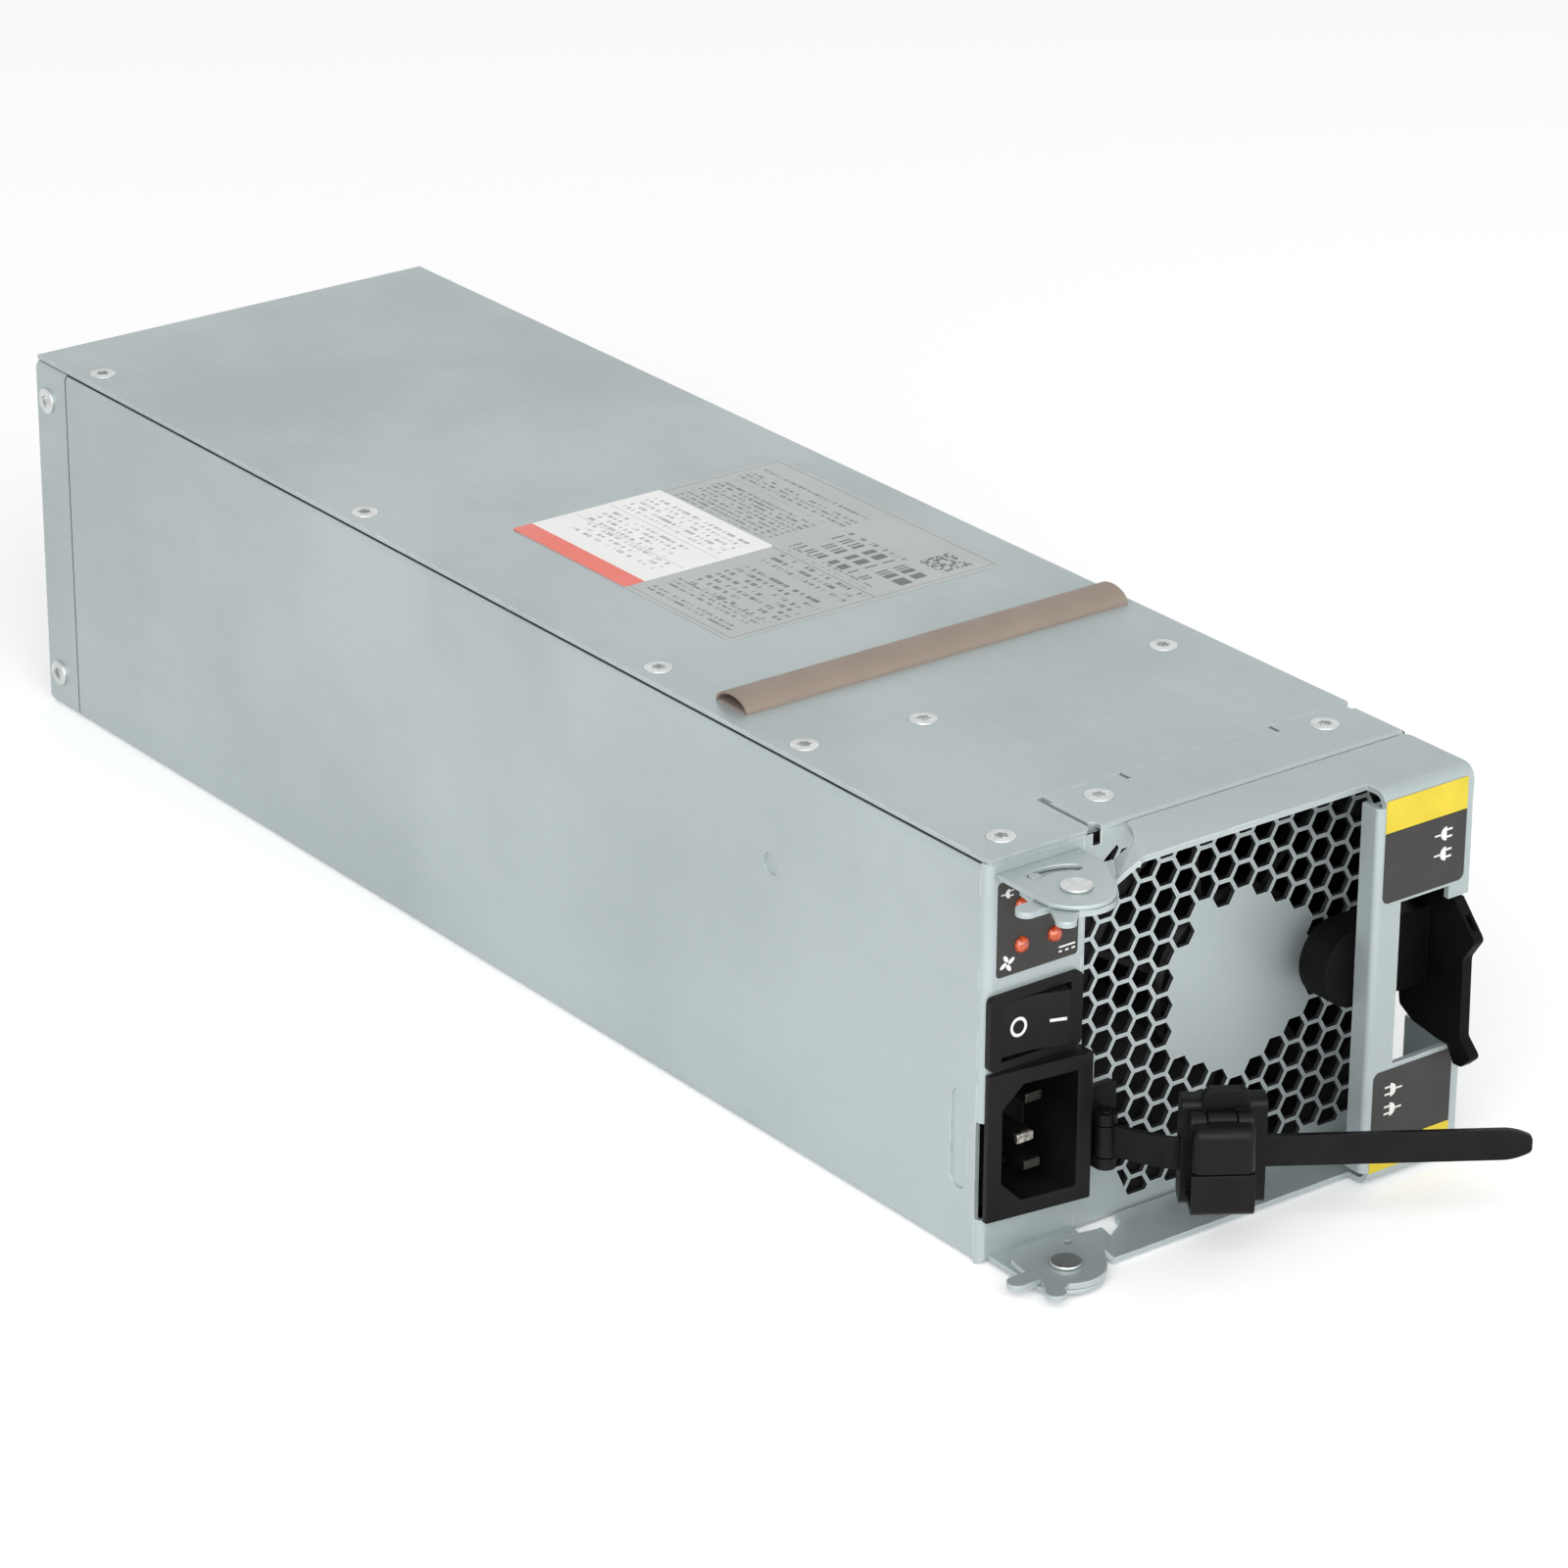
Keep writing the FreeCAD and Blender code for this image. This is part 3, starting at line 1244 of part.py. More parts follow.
def heat_sink(name, x, y, length, fins_to):
    """An upright plate with fins to one side and the power transistors' bodies on the other."""
    plate = block(name + "_plate", (x, x + " + 3"), (y, "%s + %s" % (y, length)),
                  ("board_top", "board_top + 55"))
    pieces = [plate]
    for index in range(8):
        low = "board_top + 12 + %d * 5.6" % index
        span = {"+": (x + " + 2", x + " + 12"), "-": (x + " - 9", x + " + 1")}[fins_to]
        pieces.append(block(name + "_fin", span, (y, "%s + %s" % (y, length)), (low, low + " + 1.5")))
    return part(name, fuse(name + "_whole", *pieces))


def power_transistors():
    """Flat transistor bodies clamped to the two heat sinks, with their legs in the board."""
    pieces = []
    for x, side, y in (("left + 13", "3", "front + 200"), ("right - 16", "-4.5", "front + 195")):
        for index in range(4):
            start = "%s + 6 + %d * 22" % (y, index)
            low = "%s + %s" % (x, side)
            body = block("transistor", (low, low + " + 4.5"), (start, start + " + 16"),
                         ("board_top + 14", "board_top + 34"))
            legs = [block("transistor_leg", (low + " + 1.5", low + " + 2.5"),
                          ("%s + %s" % (start, y_leg), "%s + %s + 1" % (start, y_leg)),
                          ("board_top", "board_top + 15")) for y_leg in ("2", "7.5", "13")]
            pieces.append(fuse("transistor_whole", body, *legs))
    return part("power_transistors", group("all_transistors", *pieces))


def control_board():
    """An upright board with the supervisor chips, behind the transformer."""
    plate = block("control_plate", ("left + 35", "right - 35"), ("control_front", "control_front + board_thickness"),
                  ("board_top", "board_top + 34"))
    chips = [block("control_chip", centred("%s" % x, "8"), ("control_front - 1.4", "control_front + 0.4"),
                   ("board_top + 12", "board_top + 22")) for x in ("-8", "6")]
    return part("control_board", fuse("control_whole", plate, *chips))


def fuse_holder():
    """A cartridge fuse in its two clips by the mains filter."""
    tube = rod("fuse_tube", "x", ("left + 52", "front + 92", "board_top + 5"), "2.5", "20")
    clips = [block("fuse_clip", centred("left + %s" % x, "5"), centred("front + 92", "6.6"),
                   ("board_top", "board_top + 8.2")) for x in ("54.5", "69.5")]
    return part("fuse_holder", fuse("fuse_whole", tube, *clips))


def dc_output_connector():
    """The rear output socket: a wide shell with a row of power blades in its cavity."""
    shell = block("output_shell", centred("0", "output_width"), ("rear - output_depth", "rear - slip"),
                  ("board_top", "board_top + output_height"))
    cavity = block("output_cavity", centred("0", "output_width - 2 * output_wall"),
                   ("rear - output_depth + 8", "rear + 1"),
                   ("board_top + output_wall", "board_top + output_height - output_wall"))
    return part("dc_output_connector", cut("output", shell, cavity))


def output_blades():
    """Power and signal contacts that stand in the output socket's cavity."""
    blades = []
    for index in range(8):
        x = "%d * 6.4 - 22.4" % index
        blades.append(block("output_blade", centred(x, "1.2"),
                            ("rear - output_depth + 8", "rear - output_depth + 18"),
                            ("board_top + output_wall + 1.5",
                             "board_top + output_height - output_wall - 1.5")))
    return part("output_blades", group("all_blades", *blades))


def tangent_route(points):
    """Straight runs joined by tangent arcs, each arc as large as its two runs allow."""
    edges = []
    last = points[0]
    for index in range(1, len(points) - 1):
        before = points[index - 1] - points[index]
        after = points[index + 1] - points[index]
        reach = 0.45 * min(before.Length, after.Length)
        half = (math.pi - before.getAngle(after)) / 2
        radius = reach / math.tan(half)
        start = points[index] + before * (reach / before.Length)
        end = points[index] + after * (reach / after.Length)
        inward = (before * (1 / before.Length) + after * (1 / after.Length)).normalize()
        middle = points[index] + inward * (radius / math.cos(half) - radius)
        edges.append(Part.LineSegment(last, start).toShape())
        edges.append(Part.Arc(start, middle, end).toShape())
        last = end
    edges.append(Part.LineSegment(last, points[-1]).toShape())
    return Part.Wire(edges)


def wire(name, route):
    """An insulated wire along a route given from the left front corner."""
    points = [vector("left + %s" % x, "front + %s" % y, z) for x, y, z in route]
    path = tangent_route(points)
    ring = Part.Wire(Part.makeCircle(number("wire_radius"), points[0], points[1] - points[0]))
    item = doc.addObject("Part::Feature", name)
    item.Shape = path.makePipeShell([ring], True, False)
    return item


def inlet_wires():
    """Three wires from the inlet's tabs and the switch through the fans' corner notch to the board."""
    routes = [
        [("13.8", "26.7", "17.9"), ("15", "34", "15"), ("22", "42", "9"), ("27", "52", "5.5"),
         ("29", "64", "5.2"), ("30", "75", "7.5"), ("31", "84", "12.5"), ("31", "92", "14.5")],
        [("9.8", "26.7", "25"), ("8", "36", "20"), ("8", "48", "14"), ("9", "60", "11"),
         ("11", "74", "12"), ("12", "86", "15"), ("13", "92", "15")],
        [("13.8", "26.7", "32.1"), ("14", "36", "28"), ("13", "50", "21"), ("14", "64", "16"),
         ("17", "78", "15.5"), ("20", "88", "16"), ("22", "92", "16")],
    ]
    wires = [wire("inlet_wire", route) for route in routes]
    return part("inlet_wires", group("all_wires", *wires))


# Cord retention.

def strap_anchor():
    """The moulded foot on the front panel, with two lugs round the strap's knuckle."""
    foot = block("anchor_foot", ("left + anchor_offset", "left + anchor_offset + anchor_width"),
                 ("front - anchor_plate", "front"), ("anchor_low", "anchor_high"))
    foot = rounded("anchor_foot_corners", foot, "1", *[
        ("y", {"x": x, "z": z})
        for x in ("left + anchor_offset", "left + anchor_offset + anchor_width")
        for z in ("anchor_low", "anchor_high")])
    stem = rod("anchor_stem", "y", ("left + anchor_offset + anchor_width / 2", "front - 0.5", "23"),
               "rivet_radius", "sheet + 0.5")
    low_lug = ("strap_height - strap_width / 2 - fit - 2.3", "strap_height - strap_width / 2 - fit")
    high_lug = ("strap_height + strap_width / 2 + fit", "strap_height + strap_width / 2 + fit + 2.3")
    lugs = []
    for low, high in (low_lug, high_lug):
        lugs.append(block("anchor_lug", ("strap_x - lug_radius", "strap_x + 1"), ("strap_y", "front - 1"),
                          (low, high)))
        lugs.append(rod("anchor_lug_end", "z", ("strap_x", "strap_y", low), "lug_radius",
                        "(%s) - (%s)" % (high, low)))
    hole = rod("anchor_pin_hole", "z", ("strap_x", "strap_y", "anchor_low - 1"), "strap_pin_radius",
               "anchor_high - anchor_low + 2")
    return part("strap_anchor", cut("anchor", fuse("anchor_whole", foot, stem, *lugs), hole))


def strap_pin():
    """The upright pin through the lugs and the strap's knuckle."""
    low = "strap_height - strap_width / 2 - fit - 2.6"
    return part("strap_pin", rod("strap_hinge_pin", "z", ("strap_x", "strap_y", low), "strap_pin_radius",
                                 "strap_width + 2 * fit + 5.2"))


def on_strap(item):
    """Sets a piece from the strap's own frame (X along it, origin at its pin) into place."""
    turn = FreeCAD.Rotation(FreeCAD.Vector(0, 0, 1), number("strap_angle"))
    item.Placement = FreeCAD.Placement(FreeCAD.Vector(), turn)
    return move(item, "strap_x", "strap_y", "0")


def retention_strap():
    """A stiff nylon strap: a knuckle, a curved root and a straight run with a rounded tip."""
    half = "strap_thickness / 2"
    low = "strap_height - strap_width / 2"
    line = "0 - strap_root + 2.27"
    band = prism("strap_band", "XY", low, [
        ("0.2", "-0.5"),
        ("5.5", "-3.6 - " + half, "5"),
        ("11.2", line + " - " + half, "5"),
        ("strap_length + 3", line + " - " + half),
        ("strap_length + 3", line + " + " + half),
        ("11.6", line + " + " + half, "5"),
        ("6.1", "-3.6 + " + half, "4"),
        ("1.2", "0.4"),
    ], "strap_width")
    end = "strap_length + 3"
    taper_start = end + " - strap_tip"
    profile = prism("strap_side", "XZ", "-2 * strap_root", [
        ("-1", low),
        (taper_start, low),
        (end, "strap_height - strap_tip_half", "1.2"),
        (end, "strap_height + strap_tip_half", "1.2"),
        (taper_start, low + " + strap_width"),
        ("-1", low + " + strap_width"),
    ], "4 * strap_root")
    band = common("strap_tapered", band, profile)
    knuckle = rod("strap_knuckle", "z", ("0", "0", low), "lug_radius", "strap_width")
    bore = rod("strap_bore", "z", ("0", "0", low + " - 1"), "strap_pin_radius + axle_fit", "strap_width + 2")
    strap = cut("strap", fuse("strap_whole", band, knuckle), bore)
    return part("retention_strap", on_strap(strap))


def clamp_places():
    """Limits of the clamp in the strap's frame: X of its housing and band, Y of its faces."""
    line = "(2.27 - strap_root)"
    return {
        "x": ("clamp_offset", "clamp_offset + clamp_length"),
        "band": ("clamp_offset + band_start", "clamp_offset + band_start + band_width"),
        "line": line,
        "back": line + " + channel_depth / 2",
        "front": line + " - channel_depth / 2",
        "far": line + " - channel_depth / 2 - clamp_reach",
        "hinge_y": line + " - channel_depth / 2 - 2.9",
        "hinge_z": "clamp_high - 2.9",
        "jaw_low": "clamp_low + 1.8",
        "jaw_high": "clamp_high - 1.9",
        "split": "strap_height + 0.8",
    }


def cable_clamp_body():
    """The slider on the strap with its release tab and the lower jaw that cradles the cord."""
    at = clamp_places()
    housing = block("clamp_housing", at["x"], (at["front"], at["back"]), ("clamp_low", "clamp_high"))
    housing = rounded("clamp_housing_edges", housing, "1.5", *[
        ("x", {"y": y, "z": z}) for y in (at["front"], at["back"]) for z in ("clamp_low", "clamp_high")])
    channel = block("clamp_channel", ("clamp_offset - 1", "clamp_offset + clamp_length + 1"),
                    centred(at["line"], "strap_thickness + 2 * fit"),
                    centred("strap_height", "strap_width + 2 * fit"))
    floor = block("clamp_floor", at["band"], (at["far"], at["front"] + " + 0.5"),
                  (at["jaw_low"], at["jaw_low"] + " + clamp_wall"))
    lip = block("clamp_lip", at["band"], (at["far"], at["far"] + " + clamp_wall"),
                (at["jaw_low"], at["split"]))
    jaw = rounded("clamp_jaw_round", fuse("clamp_jaw", floor, lip), "2",
                  ("x", {"y": at["far"], "z": at["jaw_low"]}))
    sides = ("clamp_offset + tongue_start", "clamp_offset + tongue_start + tongue_width")
    top = "clamp_high - 3.2 + tongue_height"
    middle = at["front"] + " + 0.5"
    tongue = block("clamp_tongue", sides, (at["front"] + " - 0.7", at["front"] + " + 1.7"),
                   ("clamp_high - 3.2", top))
    tongue = rounded("clamp_tongue_top", tongue, "2",
                     *[("y", {"x": x, "y": middle, "z": top}) for x in sides])
    lugs = []
    for x in (("%s" % at["band"][0], at["band"][0] + " + 3"), (at["band"][1] + " - 3", at["band"][1])):
        lugs.append(rod("clamp_lug_round", "x", (x[0], at["hinge_y"], at["hinge_z"]), "2", "3"))
        lugs.append(block("clamp_lug", x, (at["hinge_y"], at["front"] + " + 0.5"),
                          (at["hinge_z"] + " - 2", at["hinge_z"] + " + 1.4")))
    pin = rod("clamp_gate_pin", "x", (at["band"][0], at["hinge_y"], at["hinge_z"]), "gate_pin_radius",
              "band_width")
    whole = fuse("clamp_whole", housing, jaw, tongue, *lugs, pin)
    return part("cable_clamp_body", on_strap(cut("clamp", whole, channel)))


def cable_clamp_gate():
    """The hinged gate: the clamp's roof and the upper half of its front band."""
    at = clamp_places()
    middle = (at["band"][0] + " + 3 + fit", at["band"][1] + " - 3 - fit")
    roof_z = (at["jaw_high"] + " - clamp_wall", at["jaw_high"])
    barrel = rod("gate_barrel", "x", (middle[0], at["hinge_y"], at["hinge_z"]), "2",
                 "band_width - 6 - 2 * fit")
    web = block("gate_web", middle, (at["hinge_y"] + " - 3", at["hinge_y"]), roof_z)
    roof = block("gate_roof", at["band"], (at["far"], at["hinge_y"] + " - 2.4"), roof_z)
    band = block("gate_band", at["band"], (at["far"], at["far"] + " + clamp_wall"),
                 (at["split"] + " + fit", at["jaw_high"]))
    shape = rounded("gate_corners", fuse("gate_bent", roof, band), "0.9 * clamp_wall",
                    *[("y", {"x": x, "z": at["jaw_high"]}) for x in at["band"]])
    shape = rounded("gate_round", shape, "1.2 * clamp_wall", ("x", {"y": at["far"], "z": at["jaw_high"]}))
    bore = rod("gate_bore", "x", (at["band"][0], at["hinge_y"], at["hinge_z"]),
               "gate_pin_radius + axle_fit", "band_width")
    whole = cut("gate", fuse("gate_whole", shape, web, barrel), bore)
    return part("cable_clamp_gate", on_strap(whole))


# The assembly.

def build():
    """Makes every sub-part."""
    chassis_tray()
    front_panel()
    fan_grille()
    front_top_flange()
    top_cover()
    rear_panel()
    cover_screws()
    rear_panel_screws()
    emi_gasket()
    pivot_ear("upper_pivot_ear", "upper_ear_height")
    pivot_ear("lower_pivot_ear", "lower_ear_height")
    pivot_rivet("upper_pivot_rivet", "upper_cam - slip - rivet_head", "upper_ear_height",
                "upper_ear_height + ear_sheet + rivet_head")
    pivot_rivet("lower_pivot_rivet", "lower_ear_height - rivet_head", "lower_ear_height",
                "lower_cam + handle_sheet + slip + rivet_head")
    handle_bail()
    handle_latch()
    ac_inlet()
    inlet_pins()
    switch_housing()
    rocker()
    status_lamps()
    lamp_board()
    for name, start, blades in (("front_fan", "front_fan", 7), ("rear_fan", "rear_fan", 5)):
        fan_frame(name + "_frame", start)
        fan_rotor(name + "_rotor", start, blades)
    fan_bracket()
    insulator_sheet()
    board_standoffs()
    main_board()
    bulk_capacitors()
    filter_chokes()
    boost_choke()
    transformer()
    heat_sink("primary_heat_sink", "left + 13", "front + 200", "100", "-")
    heat_sink("secondary_heat_sink", "right - 16", "front + 195", "95", "+")
    power_transistors()
    control_board()
    fuse_holder()
    dc_output_connector()
    output_blades()
    inlet_wires()
    strap_anchor()
    strap_pin()
    retention_strap()
    cable_clamp_body()
    cable_clamp_gate()


def check_and_export():
    """Stops on any failed feature or bad shape, then writes one STEP file per sub-part."""
    doc.recompute()
    for item in doc.Objects:
        if "Invalid" in item.State or "Error" in item.State:
            raise RuntimeError("%s failed: %s" % (item.Name, item.State))
    os.makedirs("parts", exist_ok=True)
    for item in parts:
        if item.Shape.isNull() or not item.Shape.isValid():
            raise RuntimeError("%s has no valid shape" % item.Label)
    for item in parts:
        item.Shape.exportStep(os.path.join("parts", item.Label + ".step"))
        print("%-24s %2d solids %10.1f mm3" % (item.Label, len(item.Shape.Solids), item.Shape.Volume))


build()
check_and_export()
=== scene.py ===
import json
import math

import bmesh
import bpy
from mathutils import Matrix, Vector


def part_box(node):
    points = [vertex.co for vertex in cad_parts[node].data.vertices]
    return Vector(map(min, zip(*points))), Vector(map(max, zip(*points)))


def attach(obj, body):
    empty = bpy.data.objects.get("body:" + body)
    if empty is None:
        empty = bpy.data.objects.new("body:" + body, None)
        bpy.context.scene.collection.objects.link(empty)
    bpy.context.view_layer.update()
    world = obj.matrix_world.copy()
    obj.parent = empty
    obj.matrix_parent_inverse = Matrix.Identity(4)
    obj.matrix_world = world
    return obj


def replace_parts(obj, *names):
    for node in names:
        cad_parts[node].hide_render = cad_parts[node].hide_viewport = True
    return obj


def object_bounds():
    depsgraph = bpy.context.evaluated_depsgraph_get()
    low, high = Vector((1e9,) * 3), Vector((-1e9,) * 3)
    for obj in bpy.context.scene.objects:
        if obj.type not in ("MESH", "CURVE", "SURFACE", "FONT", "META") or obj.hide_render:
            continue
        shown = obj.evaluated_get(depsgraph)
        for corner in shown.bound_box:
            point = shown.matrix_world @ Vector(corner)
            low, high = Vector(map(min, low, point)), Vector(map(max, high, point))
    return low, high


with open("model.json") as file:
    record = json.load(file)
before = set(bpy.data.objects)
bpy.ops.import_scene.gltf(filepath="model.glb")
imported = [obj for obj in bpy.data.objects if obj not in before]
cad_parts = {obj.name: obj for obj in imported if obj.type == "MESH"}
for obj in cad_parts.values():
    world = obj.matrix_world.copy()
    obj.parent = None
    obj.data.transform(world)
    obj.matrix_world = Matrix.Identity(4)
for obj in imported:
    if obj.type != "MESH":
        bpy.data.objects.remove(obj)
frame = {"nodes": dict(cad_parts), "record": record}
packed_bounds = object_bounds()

# Hot swap server power supply: finishes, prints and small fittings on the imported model.
# Lengths are in metres; at() takes millimetres from the lower left front corner of the case.

MM = 0.001
CASE_LOW, CASE_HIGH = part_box("chassis_tray")
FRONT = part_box("front_panel")[0].y
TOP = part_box("top_cover")[1].z
ORIGIN = Vector((CASE_LOW.x, FRONT, 0.0))


def at(x, y, z):
    """A point given in millimetres from the lower left front corner of the case."""
    return ORIGIN + Vector((x, y, z)) * MM


# Modelling tools.

def activate(piece):
    """Makes one object the only selected and active one."""
    bpy.ops.object.select_all(action="DESELECT")
    piece.select_set(True)
    bpy.context.view_layer.objects.active = piece


def settle(piece, name):
    """Names a new primitive and moves its place into its mesh."""
    activate(piece)
    bpy.ops.object.transform_apply(location=True, rotation=True, scale=True)
    piece.name = name
    return piece


def edit(piece, mode="FACE"):
    """Opens a piece for editing with nothing selected."""
    activate(piece)
    bpy.ops.object.mode_set(mode="EDIT")
    bpy.ops.mesh.select_mode(type=mode)
    bpy.ops.mesh.select_all(action="DESELECT")


def done():
    """Closes editing."""
    bpy.ops.object.mode_set(mode="OBJECT")


def pick(kind, test):
    """Selects the faces, edges or verts of the open piece that pass a test."""
    mesh = bmesh.from_edit_mesh(bpy.context.object.data)
    for element in getattr(mesh, kind):
        element.select_set(bool(test(element)))
    mesh.select_flush_mode()
    bmesh.update_edit_mesh(bpy.context.object.data)


def middle(element):
    """The middle of a face or edge."""
    if isinstance(element, bmesh.types.BMFace):
        return element.calc_center_median()
    return (element.verts[0].co + element.verts[1].co) / 2


def along(edge, axis):
    """True for an edge that runs along an axis, 0 to 2."""
    run = edge.verts[1].co - edge.verts[0].co
    return run.length > 0 and abs(run[axis]) > 0.99 * run.length


def slab(name, low, high):
    """A box between two corners."""
    bpy.ops.object.select_all(action="DESELECT")
    bpy.ops.mesh.primitive_cube_add(size=1, location=(low + high) / 2, scale=high - low)
    return settle(bpy.context.object, name)


def disc(name, centre, axis, radius, height, sides=32):
    """A cylinder centred on a point, along an axis."""
    turn = {"X": (0, math.pi / 2, 0), "Y": (math.pi / 2, 0, 0), "Z": (0, 0, 0)}[axis]
    bpy.ops.object.select_all(action="DESELECT")
    bpy.ops.mesh.primitive_cylinder_add(vertices=sides, radius=radius, depth=height, location=centre,
                                        rotation=turn)
    return settle(bpy.context.object, name)


def round_edges(piece, radius, test, segments=4):
    """Bevels the edges that pass a test."""
    edit(piece, "EDGE")
    pick("edges", test)
    bpy.ops.mesh.bevel(offset=radius, segments=segments, profile=0.5)
    done()
    return piece


def smooth(piece, degrees=35):
    """Smooth shading that keeps corners sharper than an angle."""
    activate(piece)
    bpy.ops.object.shade_smooth_by_angle(angle=math.radians(degrees))
    return piece


def join(name, pieces):
    """Several loose pieces made one object."""
    bpy.ops.object.select_all(action="DESELECT")
    for piece in pieces:
        piece.select_set(True)
    bpy.context.view_layer.objects.active = pieces[0]
    bpy.ops.object.join()
    pieces[0].name = name
    return pieces[0]


def turned(piece, centre, axis, degrees):
    """Turns a finished piece's mesh about a point."""
    spin = Matrix.Rotation(math.radians(degrees), 4, axis)
    piece.data.transform(Matrix.Translation(centre) @ spin @ Matrix.Translation(-centre))
    return piece


def dress(piece, material, body):
    """Gives a new piece its finish and body."""
    piece.data.materials.clear()
    piece.data.materials.append(material)
    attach(piece, body)
    return piece


NODE_BODY = {node: body for body, nodes in frame["record"]["behaviour"]["bodies"].items()
             for node in nodes}
NODE_SLOT = {part["node"]: part["material_slot"] for part in frame["record"]["subparts"]}


def softened(node, material, width, segments=2, angle=30, reshape=None):
    """A copy of a CAD node with its sharp edges broken, which stands for the node."""
    source = frame["nodes"][node]
    piece = bpy.data.objects.new(node + "_finished", source.data.copy())
    bpy.context.scene.collection.objects.link(piece)
    edit(piece, "VERT")
    bpy.ops.mesh.select_all(action="SELECT")
    bpy.ops.mesh.remove_doubles(threshold=1e-6)
    bpy.ops.mesh.dissolve_limited(angle_limit=math.radians(1))
    if reshape:
        reshape()
    done()
    edge = piece.modifiers.new("broken_edges", "BEVEL")
    edge.width = width * MM
    edge.segments = segments
    edge.limit_method = "ANGLE"
    edge.angle_limit = math.radians(angle)
    edge.harden_normals = False
    activate(piece)
    bpy.ops.object.modifier_apply(modifier=edge.name)
    smooth(piece, 40)
    flats = piece.modifiers.new("flat_faces", "WEIGHTED_NORMAL")
    flats.keep_sharp = True
    bpy.ops.object.modifier_apply(modifier=flats.name)
    dress(piece, material, NODE_BODY[node])
    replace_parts(piece, node)
    return piece


def finish_node(node, material):
    """Gives a CAD node its finish."""
    for place in frame["nodes"][node].material_slots:
        place.material = material


# Shader tools.

def new_material(name):
    """An empty node material with its output and its Principled shader."""
    material = bpy.data.materials.new(name)
    material.use_nodes = True
    shader = material.node_tree.nodes["Principled BSDF"]
    return material, material.node_tree, shader


def put(tree, kind, settings=None, **inputs):
    """A node with its settings; an input is a value or another node's socket."""
    node = tree.nodes.new(kind)
    for name, value in (settings or {}).items():
        setattr(node, name, value)
    for name, value in inputs.items():
        socket = node.inputs[int(name[1:])] if name[1:].isdigit() else node.inputs[name.replace("_", " ")]
        if isinstance(value, bpy.types.NodeSocket):
            tree.links.new(value, socket)
        else:
            socket.default_value = value
    return node


def arithmetic(tree, operation, first, second):
    """One sum on two values or sockets."""
    return put(tree, "ShaderNodeMath", {"operation": operation}, _0=first, _1=second).outputs[0]


def between(tree, value, low, high, to_low=0.0, to_high=1.0):
    """A value moved smoothly from one range to another."""
    return put(tree, "ShaderNodeMapRange", {"interpolation_type": "SMOOTHSTEP"}, Value=value,
               From_Min=low, From_Max=high, To_Min=to_low, To_Max=to_high).outputs[0]


def blend_colours(tree, mask, first, second):
    """A mix of two colours or colour sockets."""
    mix = put(tree, "ShaderNodeMix", {"data_type": "RGBA"})
    for socket, value in ((mix.inputs[0], mask), (mix.inputs[6], first), (mix.inputs[7], second)):
        if isinstance(value, bpy.types.NodeSocket):
            tree.links.new(value, socket)
        else:
            socket.default_value = value
    return mix.outputs[2]


def new_group(name, inputs, outputs):
    """A shader group with named sockets: inputs are (name, kind, default)."""
    tree = bpy.data.node_groups.new(name, "ShaderNodeTree")
    for label, kind, default in inputs:
        socket = tree.interface.new_socket(label, in_out="INPUT", socket_type="NodeSocket" + kind)
        if default is not None:
            socket.default_value = default
    for label, kind in outputs:
        tree.interface.new_socket(label, in_out="OUTPUT", socket_type="NodeSocket" + kind)
    entry = tree.nodes.new("NodeGroupInput")
    leave = tree.nodes.new("NodeGroupOutput")
    return tree, entry.outputs, leave.inputs


def use_group(tree, group, **inputs):
    """A group placed in a material with its own values."""
    node = tree.nodes.new("ShaderNodeGroup")
    node.node_tree = group
    for name, value in inputs.items():
        socket = node.inputs[name.replace("_", " ")]
        if isinstance(value, bpy.types.NodeSocket):
            tree.links.new(value, socket)
        else:
            socket.default_value = value
    return node.outputs


def cloudy_group():
    """Soft large blotches, as handling and coating leave them."""
    tree, entry, leave = new_group("cloudy", [("Vector", "Vector", None), ("Scale", "Float", 20.0),
                                              ("Detail", "Float", 4.0)], [("Mask", "Float")])
    noise = put(tree, "ShaderNodeTexNoise", Vector=entry["Vector"], Scale=entry["Scale"],
                Detail=entry["Detail"], Roughness=0.55)
    tree.links.new(between(tree, noise.outputs["Fac"], 0.3, 0.7), leave["Mask"])
    return tree


def grain_group():
    """Fine streaks along Y, left by rolling and brushing."""
    tree, entry, leave = new_group("rolled_grain", [("Vector", "Vector", None), ("Scale", "Float", 900.0),
                                                    ("Stretch", "Float", 0.03)], [("Height", "Float")])
    squeeze = put(tree, "ShaderNodeCombineXYZ", X=1.0, Y=entry["Stretch"], Z=1.0)
    scaled = put(tree, "ShaderNodeVectorMath", {"operation": "MULTIPLY"}, _0=entry["Vector"],
                 _1=squeeze.outputs[0])
    noise = put(tree, "ShaderNodeTexNoise", Vector=scaled.outputs[0], Scale=entry["Scale"], Detail=3.0,
                Roughness=0.6)
    tree.links.new(noise.outputs["Fac"], leave["Height"])
    return tree


def grit_group():
    """The fine spark texture of a moulding, or the pores of a plated sheet."""
    tree, entry, leave = new_group("grit", [("Vector", "Vector", None), ("Scale", "Float", 2500.0)],
                                   [("Height", "Float")])
    fine = put(tree, "ShaderNodeTexNoise", Vector=entry["Vector"], Scale=entry["Scale"], Detail=2.0,
               Roughness=0.7)
    tree.links.new(fine.outputs["Fac"], leave["Height"])
    return tree


